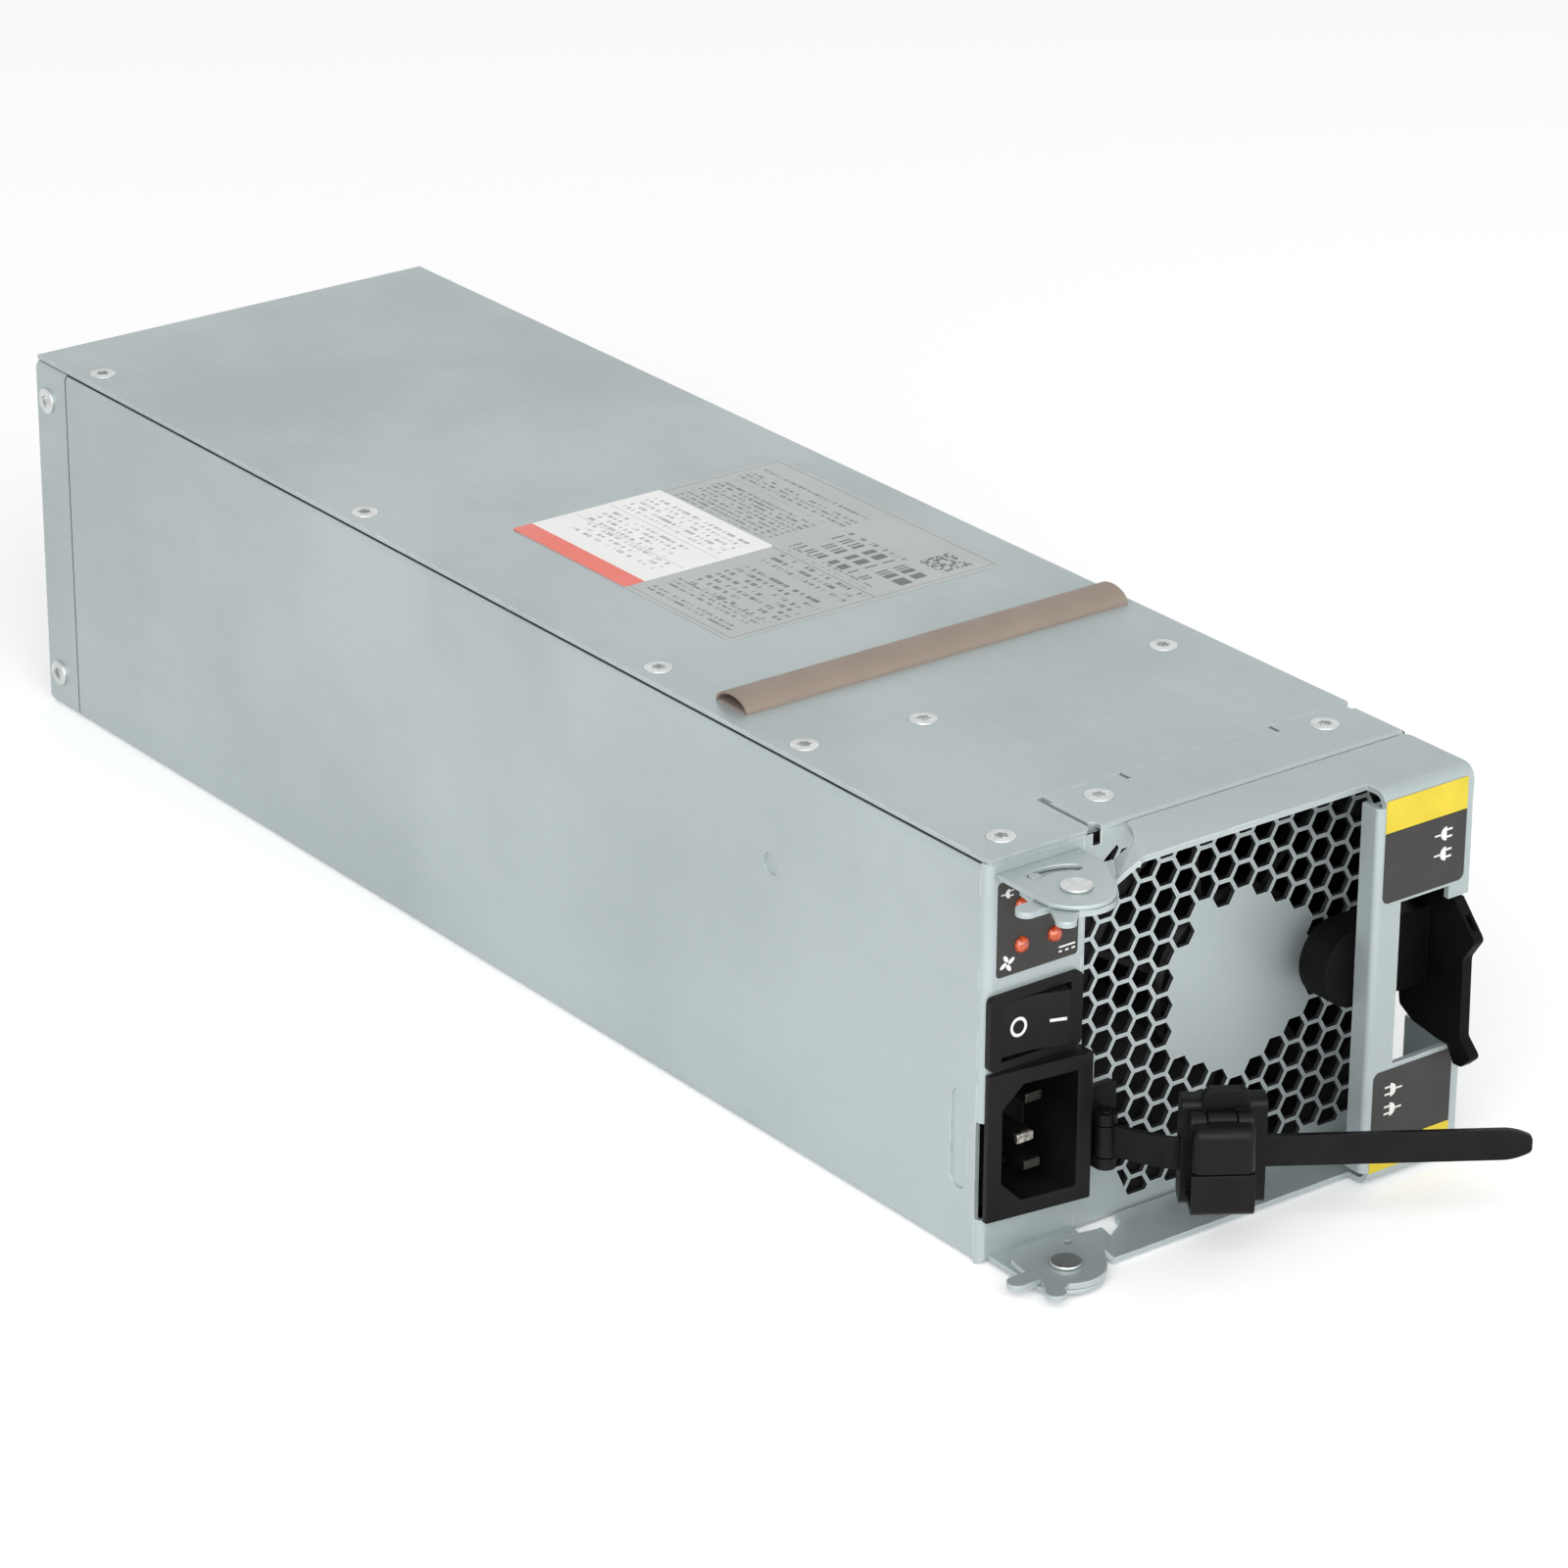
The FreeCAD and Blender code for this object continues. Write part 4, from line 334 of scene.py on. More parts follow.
def specks_group():
    """Small sparse specks and nicks."""
    tree, entry, leave = new_group("specks", [("Vector", "Vector", None), ("Scale", "Float", 140.0),
                                              ("Size", "Float", 0.06)], [("Mask", "Float")])
    cells = put(tree, "ShaderNodeTexVoronoi", {"feature": "F1"}, Vector=entry["Vector"],
                Scale=entry["Scale"])
    chosen = put(tree, "ShaderNodeSeparateColor", Color=cells.outputs["Color"])
    rare = arithmetic(tree, "GREATER_THAN", chosen.outputs[0], 0.86)
    near = arithmetic(tree, "LESS_THAN", cells.outputs["Distance"], entry["Size"])
    tree.links.new(arithmetic(tree, "MULTIPLY", rare, near), leave["Mask"])
    return tree


def edge_highlight_group():
    """A mask along outer edges, where a painted highlight is laid."""
    tree, entry, leave = new_group("painted_edge_highlight", [("Vector", "Vector", None), ("Radius", "Float", 0.0006),
                                                 ("Break Up", "Float", 300.0)], [("Mask", "Float")])
    soft = put(tree, "ShaderNodeBevel", {"samples": 4}, Radius=entry["Radius"])
    plain = tree.nodes.new("ShaderNodeNewGeometry")
    match = put(tree, "ShaderNodeVectorMath", {"operation": "DOT_PRODUCT"}, _0=soft.outputs[0],
                _1=plain.outputs["Normal"])
    sharp = between(tree, match.outputs["Value"], 0.97, 0.8)
    noise = put(tree, "ShaderNodeTexNoise", Vector=entry["Vector"], Scale=entry["Break Up"], Detail=3.0)
    broken = between(tree, noise.outputs["Fac"], 0.35, 0.6)
    tree.links.new(arithmetic(tree, "MULTIPLY", sharp, broken), leave["Mask"])
    return tree


def print_group():
    """Rows of short bars, as small print looks when it can't be read."""
    tree, entry, leave = new_group("fine_print", [("Vector", "Vector", None), ("Rows", "Float", 400.0),
                                                  ("Bars", "Float", 260.0), ("Fill", "Float", 0.45)],
                                   [("Mask", "Float")])
    parts = put(tree, "ShaderNodeSeparateXYZ", Vector=entry["Vector"])
    lines = arithmetic(tree, "MULTIPLY", parts.outputs[1], entry["Rows"])
    row = arithmetic(tree, "FLOOR", lines, 0.0)
    inside = arithmetic(tree, "SUBTRACT", lines, row)
    body = arithmetic(tree, "LESS_THAN", inside, 0.5)
    across = arithmetic(tree, "MULTIPLY", parts.outputs[0], entry["Bars"])
    place = put(tree, "ShaderNodeCombineXYZ", X=across, Y=arithmetic(tree, "MULTIPLY", row, 7.31), Z=0.0)
    noise = put(tree, "ShaderNodeTexNoise", Vector=place.outputs[0], Scale=1.0, Detail=1.0)
    bars = arithmetic(tree, "LESS_THAN", noise.outputs["Fac"], entry["Fill"])
    length = put(tree, "ShaderNodeTexWhiteNoise", {"noise_dimensions": "1D"}, W=row)
    kept = arithmetic(tree, "GREATER_THAN", length.outputs["Value"], 0.18)
    mask = arithmetic(tree, "MULTIPLY", arithmetic(tree, "MULTIPLY", bars, body), kept)
    tree.links.new(mask, leave["Mask"])
    return tree


def weave_group():
    """A plain weave on the XY plane: its threads' height and the gaps between them."""
    tree, entry, leave = new_group("cloth_weave", [("Vector", "Vector", None), ("Threads", "Float", 9000.0)],
                                   [("Height", "Float")])
    parts = put(tree, "ShaderNodeSeparateXYZ", Vector=entry["Vector"])
    across = arithmetic(tree, "SINE", arithmetic(tree, "MULTIPLY", parts.outputs[0], entry["Threads"]), 0.0)
    down = arithmetic(tree, "SINE", arithmetic(tree, "MULTIPLY", parts.outputs[1], entry["Threads"]), 0.0)
    crossed = arithmetic(tree, "MULTIPLY", across, down)
    tree.links.new(between(tree, crossed, -1.0, 1.0), leave["Height"])
    return tree


CLOUDY = cloudy_group()
GRAIN = grain_group()
GRIT = grit_group()
SPECKS = specks_group()
EDGE_HIGHLIGHT = edge_highlight_group()
PRINT = print_group()
WEAVE = weave_group()


def object_place(tree):
    """Object coordinates."""
    return tree.nodes.new("ShaderNodeTexCoord").outputs["Object"]


def bump(tree, shader, height, distance, strength=0.5):
    """A bump into the shader's normal."""
    node = put(tree, "ShaderNodeBump", Strength=strength, Distance=distance, Height=height)
    tree.links.new(node.outputs["Normal"], shader.inputs["Normal"])


# Finishes.

def zinc_steel(name, colour, shade, shadow_gap_lines=(), painted_hole_shade=False, shine=0.6):
    """Zinc coated sheet: a satin grey with cloudy tone, a painted highlight along its edges and painted
    shadow lines in the gaps at its joints.
    """
    material, tree, shader = new_material(name)
    place = object_place(tree)
    clouds = use_group(tree, CLOUDY, Vector=place, Scale=14.0, Detail=5.0)["Mask"]
    grain = use_group(tree, GRAIN, Vector=place)["Height"]
    nicks = use_group(tree, SPECKS, Vector=place, Scale=55.0, Size=0.035)["Mask"]
    edges = use_group(tree, EDGE_HIGHLIGHT, Vector=place, Radius=0.0004)["Mask"]
    tone = blend_colours(tree, clouds, colour, shade)
    tone = blend_colours(tree, between(tree, grain, 0.3, 0.75, 0.0, 0.03), tone, BRIGHT_ZINC)
    tone = blend_colours(tree, arithmetic(tree, "MULTIPLY", nicks, 0.35), tone, (0.1, 0.1, 0.1, 1))
    # Painted highlight: the edges are blended toward bright zinc by the shine factor.
    tone = blend_colours(tree, arithmetic(tree, "MULTIPLY", edges, shine), tone, BRIGHT_ZINC)
    if painted_hole_shade:
        # Painted shade: faces that look sideways, the walls of the grille's holes, are painted near black.
        surface = tree.nodes.new("ShaderNodeNewGeometry")
        facing = put(tree, "ShaderNodeSeparateXYZ", Vector=surface.outputs["Normal"])
        side = arithmetic(tree, "ABSOLUTE", facing.outputs[1], 0.0)
        tone = blend_colours(tree, between(tree, side, 0.75, 0.35), tone, (0.05, 0.055, 0.055, 1))
    parts = put(tree, "ShaderNodeSeparateXYZ", Vector=place)
    # Painted shadow: near-black lines where the cover's edge and the rear joint leave a gap.
    for axis, low, high in shadow_gap_lines:
        line = arithmetic(tree, "MULTIPLY", arithmetic(tree, "GREATER_THAN", parts.outputs[axis], low),
                          arithmetic(tree, "LESS_THAN", parts.outputs[axis], high))
        tone = blend_colours(tree, arithmetic(tree, "MULTIPLY", line, 0.93), tone, (0.02, 0.022, 0.022, 1))
    tree.links.new(tone, shader.inputs["Base Color"])
    tree.links.new(between(tree, clouds, 0.0, 1.0, 0.35, 0.46), shader.inputs["Roughness"])
    shader.inputs["Metallic"].default_value = 0.4
    bump(tree, shader, grain, 0.00001, 0.12)
    return material


def plated_metal(name, colour, roughness):
    """Bright plated small parts."""
    material, tree, shader = new_material(name)
    place = object_place(tree)
    clouds = use_group(tree, CLOUDY, Vector=place, Scale=400.0, Detail=3.0)["Mask"]
    tone = blend_colours(tree, clouds, colour, tuple(c * 0.8 for c in colour[:3]) + (1,))
    tree.links.new(tone, shader.inputs["Base Color"])
    tree.links.new(between(tree, clouds, 0.0, 1.0, roughness, roughness + 0.12), shader.inputs["Roughness"])
    shader.inputs["Metallic"].default_value = 0.9
    dents = use_group(tree, CLOUDY, Vector=place, Scale=1500.0, Detail=3.0)["Mask"]
    bump(tree, shader, dents, 0.00005, 0.35)
    return material


def pin_metal():
    """Nickel pins, painted near black behind their tips as shade in the inlet's recess; the tips keep
    patches of bright nickel.
    """
    material, tree, shader = new_material("pin_metal")
    place = object_place(tree)
    depth = put(tree, "ShaderNodeSeparateXYZ", Vector=place).outputs[1]
    marks = use_group(tree, CLOUDY, Vector=place, Scale=700.0, Detail=4.0)["Mask"]
    # Painted shade: the pins go near black from 0.3 mm in front of the face to 0.7 mm behind it.
    lit_tip_mask = between(tree, depth, FRONT + 0.3 * MM, FRONT - 0.7 * MM)
    tone = blend_colours(tree, arithmetic(tree, "MULTIPLY", lit_tip_mask, marks), (0.045, 0.042, 0.036, 1),
                         (0.6, 0.58, 0.52, 1))
    tree.links.new(tone, shader.inputs["Base Color"])
    tree.links.new(between(tree, marks, 0.0, 1.0, 0.25, 0.4), shader.inputs["Roughness"])
    shader.inputs["Metallic"].default_value = 0.9
    return material


def moulded_plastic(name, colour, roughness, grit_size=2200.0, depth=0.00003, gloss=0.5):
    """Moulded plastic: fine grit, faint handling marks, and a painted highlight that makes the edges a
    little paler.
    """
    material, tree, shader = new_material(name)
    shader.inputs["Specular IOR Level"].default_value = gloss
    place = object_place(tree)
    height = use_group(tree, GRIT, Vector=place, Scale=grit_size)["Height"]
    marks = use_group(tree, CLOUDY, Vector=place, Scale=90.0, Detail=5.0)["Mask"]
    edges = use_group(tree, EDGE_HIGHLIGHT, Vector=place, Radius=0.0005)["Mask"]
    pale = tuple(min(1.0, c * 2.2 + 0.003) for c in colour[:3]) + (1,)
    tone = blend_colours(tree, arithmetic(tree, "MULTIPLY", marks, 0.35), colour, pale)
    # Painted highlight: the edges are blended toward the pale tone.
    tone = blend_colours(tree, arithmetic(tree, "MULTIPLY", edges, 0.6), tone, pale)
    tree.links.new(tone, shader.inputs["Base Color"])
    tree.links.new(between(tree, marks, 0.0, 1.0, roughness, roughness + 0.12), shader.inputs["Roughness"])
    bump(tree, shader, height, depth, 0.35)
    return material


def solid_print(name, colour, roughness=0.4):
    """A plain printed field with slight unevenness and fine tooth."""
    material, tree, shader = new_material(name)
    place = object_place(tree)
    clouds = use_group(tree, CLOUDY, Vector=place, Scale=120.0, Detail=4.0)["Mask"]
    tone = blend_colours(tree, clouds, colour, tuple(c * 0.88 for c in colour[:3]) + (1,))
    tree.links.new(tone, shader.inputs["Base Color"])
    tree.links.new(between(tree, clouds, 0.0, 1.0, roughness, roughness + 0.1), shader.inputs["Roughness"])
    bump(tree, shader, use_group(tree, GRIT, Vector=place, Scale=1800.0)["Height"], 0.00001, 0.2)
    return material


def conductive_cloth():
    """Metallised cloth over foam: a taupe weave with a soft metal sheen."""
    material, tree, shader = new_material("gasket_cloth")
    place = object_place(tree)
    threads = use_group(tree, WEAVE, Vector=place)["Height"]
    clouds = use_group(tree, CLOUDY, Vector=place, Scale=70.0, Detail=4.0)["Mask"]
    tone = blend_colours(tree, clouds, (0.25, 0.20, 0.162, 1), (0.23, 0.183, 0.148, 1))
    tone = blend_colours(tree, arithmetic(tree, "MULTIPLY", threads, 0.25), tone, (0.40, 0.33, 0.28, 1))
    tree.links.new(tone, shader.inputs["Base Color"])
    tree.links.new(between(tree, clouds, 0.0, 1.0, 0.5, 0.62), shader.inputs["Roughness"])
    shader.inputs["Metallic"].default_value = 0.35
    bump(tree, shader, threads, 0.00006, 0.5)
    return material


def lamp_lens():
    """Clear amber lens of an unlit lamp."""
    material, tree, shader = new_material("amber_lens")
    place = object_place(tree)
    clouds = use_group(tree, CLOUDY, Vector=place, Scale=900.0, Detail=2.0)["Mask"]
    tone = blend_colours(tree, clouds, (0.30, 0.022, 0.003, 1), (0.62, 0.09, 0.008, 1))
    tree.links.new(tone, shader.inputs["Base Color"])
    shader.inputs["Roughness"].default_value = 0.1
    shader.inputs["Coat Weight"].default_value = 1.0
    shader.inputs["Subsurface Weight"].default_value = 0.25
    shader.inputs["Subsurface Scale"].default_value = 0.001
    return material


def circuit_laminate():
    """Green board with faint copper tracks under its mask."""
    material, tree, shader = new_material("circuit_laminate")
    place = object_place(tree)
    tracks = put(tree, "ShaderNodeTexBrick", {"offset": 0.37}, Vector=place, Scale=120.0,
                 Mortar_Size=0.03)
    tone = blend_colours(tree, tracks.outputs["Fac"], (0.012, 0.085, 0.03, 1), (0.03, 0.16, 0.06, 1))
    tree.links.new(tone, shader.inputs["Base Color"])
    tree.links.new(between(tree, tracks.outputs["Fac"], 0.0, 1.0, 0.3, 0.42), shader.inputs["Roughness"])
    return material


def wire_sleeves():
    """Insulation of the three internal wires: red, black and green by height."""
    material, tree, shader = new_material("wire_sleeves")
    place = object_place(tree)
    parts = put(tree, "ShaderNodeSeparateXYZ", Vector=place)
    right = arithmetic(tree, "GREATER_THAN", parts.outputs[0], CASE_LOW.x + 16.5 * MM)
    high = arithmetic(tree, "GREATER_THAN", parts.outputs[2], 20 * MM)
    marks = use_group(tree, CLOUDY, Vector=place, Scale=300.0, Detail=3.0)["Mask"]
    cold = blend_colours(tree, high, (0.02, 0.12, 0.03, 1), (0.02, 0.02, 0.02, 1))
    tone = blend_colours(tree, right, cold, (0.55, 0.02, 0.025, 1))
    tone = blend_colours(tree, arithmetic(tree, "MULTIPLY", marks, 0.2), tone, (0.05, 0.05, 0.05, 1))
    tree.links.new(tone, shader.inputs["Base Color"])
    shader.inputs["Roughness"].default_value = 0.4
    return material


def label_parts(tree, corner):
    """X and Y of a flat label in millimetres from its lower left corner on the top."""
    start = at(*corner, 0)
    place = put(tree, "ShaderNodeMapping", Vector=object_place(tree),
                Location=tuple(-1000 * c for c in start), Scale=(1000, 1000, 1000))
    parts = put(tree, "ShaderNodeSeparateXYZ", Vector=place.outputs[0])
    return parts.outputs[0], parts.outputs[1]


def window(tree, x, y, x_range, y_range):
    """A mask that is one inside a rectangle."""
    mask = arithmetic(tree, "MULTIPLY", arithmetic(tree, "GREATER_THAN", x, x_range[0]),
                      arithmetic(tree, "LESS_THAN", x, x_range[1]))
    for operation, limit in (("GREATER_THAN", y_range[0]), ("LESS_THAN", y_range[1])):
        mask = arithmetic(tree, "MULTIPLY", mask, arithmetic(tree, operation, y, limit))
    return mask


def print_rows(tree, x, y, rows, bars, fill, blocks):
    """Rows of unreadable print that run along Y, kept to the given rectangles."""
    place = put(tree, "ShaderNodeCombineXYZ", X=y, Y=x, Z=0.0)
    mask = use_group(tree, PRINT, Vector=place.outputs[0], Rows=rows, Bars=bars, Fill=fill)["Mask"]
    inside = 0.0
    for x_range, y_range in blocks:
        inside = arithmetic(tree, "MAXIMUM", inside, window(tree, x, y, x_range, y_range))
    return arithmetic(tree, "MULTIPLY", mask, inside)


def bar_rows(tree, x, y, pitch, blocks):
    """Upright bars of uneven width, as a scanning code has."""
    noise = put(tree, "ShaderNodeTexWhiteNoise", {"noise_dimensions": "1D"},
                W=arithmetic(tree, "FLOOR", arithmetic(tree, "MULTIPLY", y, pitch), 0.0))
    bars = arithmetic(tree, "GREATER_THAN", noise.outputs["Value"], 0.45)
    inside = 0.0
    for x_range, y_range in blocks:
        inside = arithmetic(tree, "MAXIMUM", inside, window(tree, x, y, x_range, y_range))
    return arithmetic(tree, "MULTIPLY", bars, inside)


def square_code(tree, x, y, pitch, x_range, y_range):
    """A field of random small squares."""
    column = arithmetic(tree, "FLOOR", arithmetic(tree, "MULTIPLY", x, pitch), 0.0)
    row = arithmetic(tree, "FLOOR", arithmetic(tree, "MULTIPLY", y, pitch), 0.0)
    cell = put(tree, "ShaderNodeCombineXYZ", X=column, Y=row, Z=0.0)
    noise = put(tree, "ShaderNodeTexWhiteNoise", {"noise_dimensions": "2D"}, Vector=cell.outputs[0])
    filled = arithmetic(tree, "GREATER_THAN", noise.outputs["Value"], 0.5)
    return arithmetic(tree, "MULTIPLY", filled, window(tree, x, y, x_range, y_range))


def label_finish(name, corner, paper, print_masks, band=None):
    """A printed label: paper tone, its masks of print with their inks, and a colour band at low X."""
    material, tree, shader = new_material(name)
    x, y = label_parts(tree, corner)
    clouds = use_group(tree, CLOUDY, Vector=object_place(tree), Scale=50.0, Detail=4.0)["Mask"]
    tone = blend_colours(tree, arithmetic(tree, "MULTIPLY", clouds, 0.3), paper,
                         tuple(c * 0.9 for c in paper[:3]) + (1,))
    for build_mask, ink, strength in print_masks:
        tone = blend_colours(tree, arithmetic(tree, "MULTIPLY", build_mask(tree, x, y), strength), tone, ink)
    if band:
        width, colour = band
        tone = blend_colours(tree, arithmetic(tree, "LESS_THAN", x, width), tone, colour)
    tree.links.new(tone, shader.inputs["Base Color"])
    tree.links.new(between(tree, clouds, 0.0, 1.0, 0.38, 0.5), shader.inputs["Roughness"])
    return material


# Bright zinc: the colour of the rolling streaks and of the painted edge highlight.
BRIGHT_ZINC = (0.86, 0.89, 0.88, 1)
STEEL = (0.40, 0.455, 0.465, 1)
STEEL_SHADE = (0.35, 0.40, 0.405, 1)
BLACK = (0.0025, 0.0024, 0.0022, 1)
INK = (0.06, 0.06, 0.062, 1)
PALE_PRINT = (0.72, 0.72, 0.70, 1)

FINISHES = {
    "zinc_steel": zinc_steel("zinc_steel", STEEL, STEEL_SHADE),
    "plated_screw": plated_metal("plated_screw", (0.66, 0.69, 0.68, 1), 0.28),
    "conductive_gasket": conductive_cloth(),
    "black_plastic": moulded_plastic("black_plastic", BLACK, 0.42, gloss=0.2),
    "pin_metal": pin_metal(),
    "amber_lens": lamp_lens(),
    "circuit_board": circuit_laminate(),
    "fan_plastic": moulded_plastic("fan_plastic", (0.004, 0.004, 0.004, 1), 0.4, gloss=0.15),
    "brown_film": moulded_plastic("brown_film", (0.16, 0.045, 0.018, 1), 0.4),
    "capacitor_sleeve": moulded_plastic("capacitor_sleeve", (0.015, 0.02, 0.05, 1), 0.3),
    "choke_core": moulded_plastic("choke_core", (0.30, 0.13, 0.03, 1), 0.45),
    "heat_sink_metal": plated_metal("heat_sink_metal", (0.55, 0.56, 0.58, 1), 0.35),
    "blade_metal": plated_metal("blade_metal", (0.75, 0.60, 0.28, 1), 0.25),
    "wire_sleeve": wire_sleeves(),
    "nylon": moulded_plastic("nylon", (0.003, 0.0029, 0.0028, 1), 0.34, gloss=0.17),
    "latch_plastic": moulded_plastic("latch_plastic", (0.0022, 0.0021, 0.002, 1), 0.5, 1500.0, 0.00004,
                                     0.08),
}
for node, slot_name in NODE_SLOT.items():
    finish_node(node, FINISHES[slot_name])

# The case's sheets have their own finishes: painted shadow lines in the gaps at the joints, and hole walls
# in the perforated grille painted near black as shade.

JOINT_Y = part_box("rear_panel")[0].y
COVER_SEAT = CASE_HIGH.z
SHEET_FINISHES = {
    "chassis_tray": zinc_steel("tray_steel", STEEL, STEEL_SHADE, [
        (1, JOINT_Y - 0.45 * MM, JOINT_Y + 0.1 * MM),
        (2, COVER_SEAT - 0.6 * MM, COVER_SEAT + 0.1 * MM),
    ]),
    "rear_panel": zinc_steel("rear_panel_steel", STEEL, STEEL_SHADE, [
        (2, COVER_SEAT - 0.35 * MM, COVER_SEAT + 2 * MM),
    ]),
    # The grille: its thin webs are painted bright all over as highlight by the high shine, and its hole
    # walls are painted near black as shade.
    "fan_grille": zinc_steel("punched_steel", STEEL, STEEL_SHADE, painted_hole_shade=True, shine=0.9),
}
finish_node("chassis_tray", SHEET_FINISHES["chassis_tray"])
finish_node("fan_grille", SHEET_FINISHES["fan_grille"])

# Edges of the sheet metal and mouldings: broken-edge width in millimetres for each node.

EDGE_WIDTHS = {
    "front_panel": 0.15,
    "front_top_flange": 0.12,
    "top_cover": 0.12,
    "rear_panel": 0.15,
    "upper_pivot_ear": 0.25,
    "lower_pivot_ear": 0.25,
    "upper_pivot_rivet": 0.2,
    "lower_pivot_rivet": 0.2,
    "handle_bail": 0.25,
    "handle_latch": 0.6,
    "ac_inlet": 0.35,
    "inlet_pins": 0.3,
    "switch_housing": 0.3,
    "strap_anchor": 0.3,
    "strap_pin": 0.2,
    "retention_strap": 0.3,
    "cable_clamp_body": 0.45,
    "cable_clamp_gate": 0.45,
}


def cover_to_rear():
    """Carries the cover over the rear panel's flange to the rear edge."""
    bpy.ops.mesh.select_mode(type="FACE")
    pick("faces", lambda face: face.normal.y > 0.99 and abs(middle(face).y - JOINT_Y) < 0.1 * MM
         and middle(face).z > COVER_SEAT)
    bpy.ops.mesh.extrude_region_move(TRANSFORM_OT_translate={"value": (0, REAR - JOINT_Y, 0)})


def flange_under_cover():
    """Lowers the rear panel's top by the cover's thickness."""
    pick("verts", lambda vert: vert.co.z > TOP - 3.2 * MM)
    bpy.ops.transform.translate(value=(0, 0, COVER_SEAT - TOP))


def round_tip():
    """Rounds the shoulders of the strap's free end."""
    low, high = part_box("retention_strap")
    bpy.ops.mesh.select_mode(type="EDGE")
    pick("edges", lambda edge: middle(edge).x > high.x - 5 * MM and edge.calc_length() < 2 * MM
         and (min(vert.co.z for vert in edge.verts) > high.z - 0.05 * MM
              or max(vert.co.z for vert in edge.verts) < low.z + 0.05 * MM))
    bpy.ops.mesh.bevel(offset=2 * MM, segments=6, profile=0.5)


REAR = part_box("rear_panel")[1].y
RESHAPED = {"top_cover": cover_to_rear, "rear_panel": flange_under_cover, "retention_strap": round_tip}
for node, width in EDGE_WIDTHS.items():
    softened(node, SHEET_FINISHES.get(node, FINISHES[NODE_SLOT[node]]), width, 3 if width > 0.25 else 2,
             reshape=RESHAPED.get(node))

# Screws: one head is modelled with its six-lobed recess and copied to every place.

HEAD_RADIUS = 2.95
RECESS_RADIUS = 1.55
RECESS_DEPTH = 0.8


def screw_head(name):
    """A flat head, its rim broken, with a six-lobed recess; its top is at the origin."""
    head = disc(name, Vector((0, 0, -0.5 * MM)), "Z", HEAD_RADIUS * MM, 1.1 * MM, 48)
    round_edges(head, 0.25 * MM, lambda edge: edge.verts[0].co.z > 0 and edge.verts[1].co.z > 0, 3)
    cutter = disc(name + "_cutter", Vector(), "Z", RECESS_RADIUS * MM, 2 * RECESS_DEPTH * MM, 12)
    edit(cutter, "VERT")
    pick("verts", lambda vert: round(math.degrees(math.atan2(vert.co.y, vert.co.x)) / 30) % 2 == 0)
    bpy.ops.transform.resize(value=(0.66, 0.66, 1), center_override=(0, 0, 0))
    done()
    recess = head.modifiers.new("recess", "BOOLEAN")
    recess.object = cutter
    recess.operation = "DIFFERENCE"
    activate(head)
    bpy.ops.object.modifier_apply(modifier=recess.name)
    bpy.data.objects.remove(cutter)
    return smooth(head, 30)


def heads_at(name, node, places, axis="Z"):
    """Copies of the head at each place, joined; they stand for the node's screws."""
    master = screw_head(name + "_master")
    copies = []
    for index, (place, turn) in enumerate(places):
        copy = bpy.data.objects.new("%s_%d" % (name, index), master.data.copy())
        bpy.context.scene.collection.objects.link(copy)
        copy.data.transform(Matrix.Rotation(math.radians(turn), 4, "Z"))
        if axis == "-X":
            copy.data.transform(Matrix.Rotation(math.radians(-90), 4, "Y"))
        if axis == "+X":
            copy.data.transform(Matrix.Rotation(math.radians(90), 4, "Y"))
        copy.data.transform(Matrix.Translation(place))
        copies.append(copy)
    bpy.data.objects.remove(master)
    piece = join(name, copies)
    return dress(piece, FINISHES["plated_screw"], NODE_BODY[node])


def solid_boxes(node):
    """The lowest and highest corners of each separate solid of a node, in order of place."""
    mesh = bmesh.new()
    mesh.from_mesh(frame["nodes"][node].data)
    bmesh.ops.remove_doubles(mesh, verts=mesh.verts, dist=1e-6)
    unseen = set(mesh.verts)
    boxes = []
    while unseen:
        spread = [unseen.pop()]
        low = spread[0].co.copy()
        high = spread[0].co.copy()
        while spread:
            vert = spread.pop()
            low = Vector(map(min, low, vert.co))
            high = Vector(map(max, high, vert.co))
            for edge in vert.link_edges:
                other = edge.other_vert(vert)
                if other in unseen:
                    unseen.discard(other)
                    spread.append(other)
        boxes.append((low, high))
    mesh.free()
    return sorted(boxes, key=lambda box: (round(box[0].x, 4), round(box[0].y, 4), round(box[0].z, 4)))


cover_places = []
for index, (low, high) in enumerate(solid_boxes("cover_screws")):
    cover_places.append((Vector(((low.x + high.x) / 2, (low.y + high.y) / 2, TOP + 0.08 * MM)), 23 * index))
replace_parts(heads_at("cover_screw_heads", "cover_screws", cover_places), "cover_screws")

left_heads = []
right_heads = []
for index, (low, high) in enumerate(solid_boxes("rear_panel_screws")):
    y = (low.y + high.y) / 2
    z = (low.z + high.z) / 2
    if low.x < 0:
        left_heads.append((Vector((low.x - 0.05 * MM, y, z)), 31 * index))
    else:
        right_heads.append((Vector((high.x + 0.05 * MM, y, z)), 31 * index))
heads_at("left_side_heads", "rear_panel_screws", left_heads, "-X")
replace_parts(heads_at("right_side_heads", "rear_panel_screws", right_heads, "+X"), "rear_panel_screws")

# Labels: thin slabs with rounded corners.

FILM = 0.12


def film_on_top(name, x, y, material, corner=1.5, lift=0.0):
    """A label on the cover."""
    low = Vector((at(x[0], y[0], 0).x, at(x[0], y[0], 0).y, TOP + lift * MM))
    high = Vector((at(x[1], y[1], 0).x, at(x[1], y[1], 0).y, TOP + (lift + FILM) * MM))
    film = slab(name, low, high)
    round_edges(film, corner * MM, lambda edge: along(edge, 2), 5)
    return dress(film, material, "chassis")


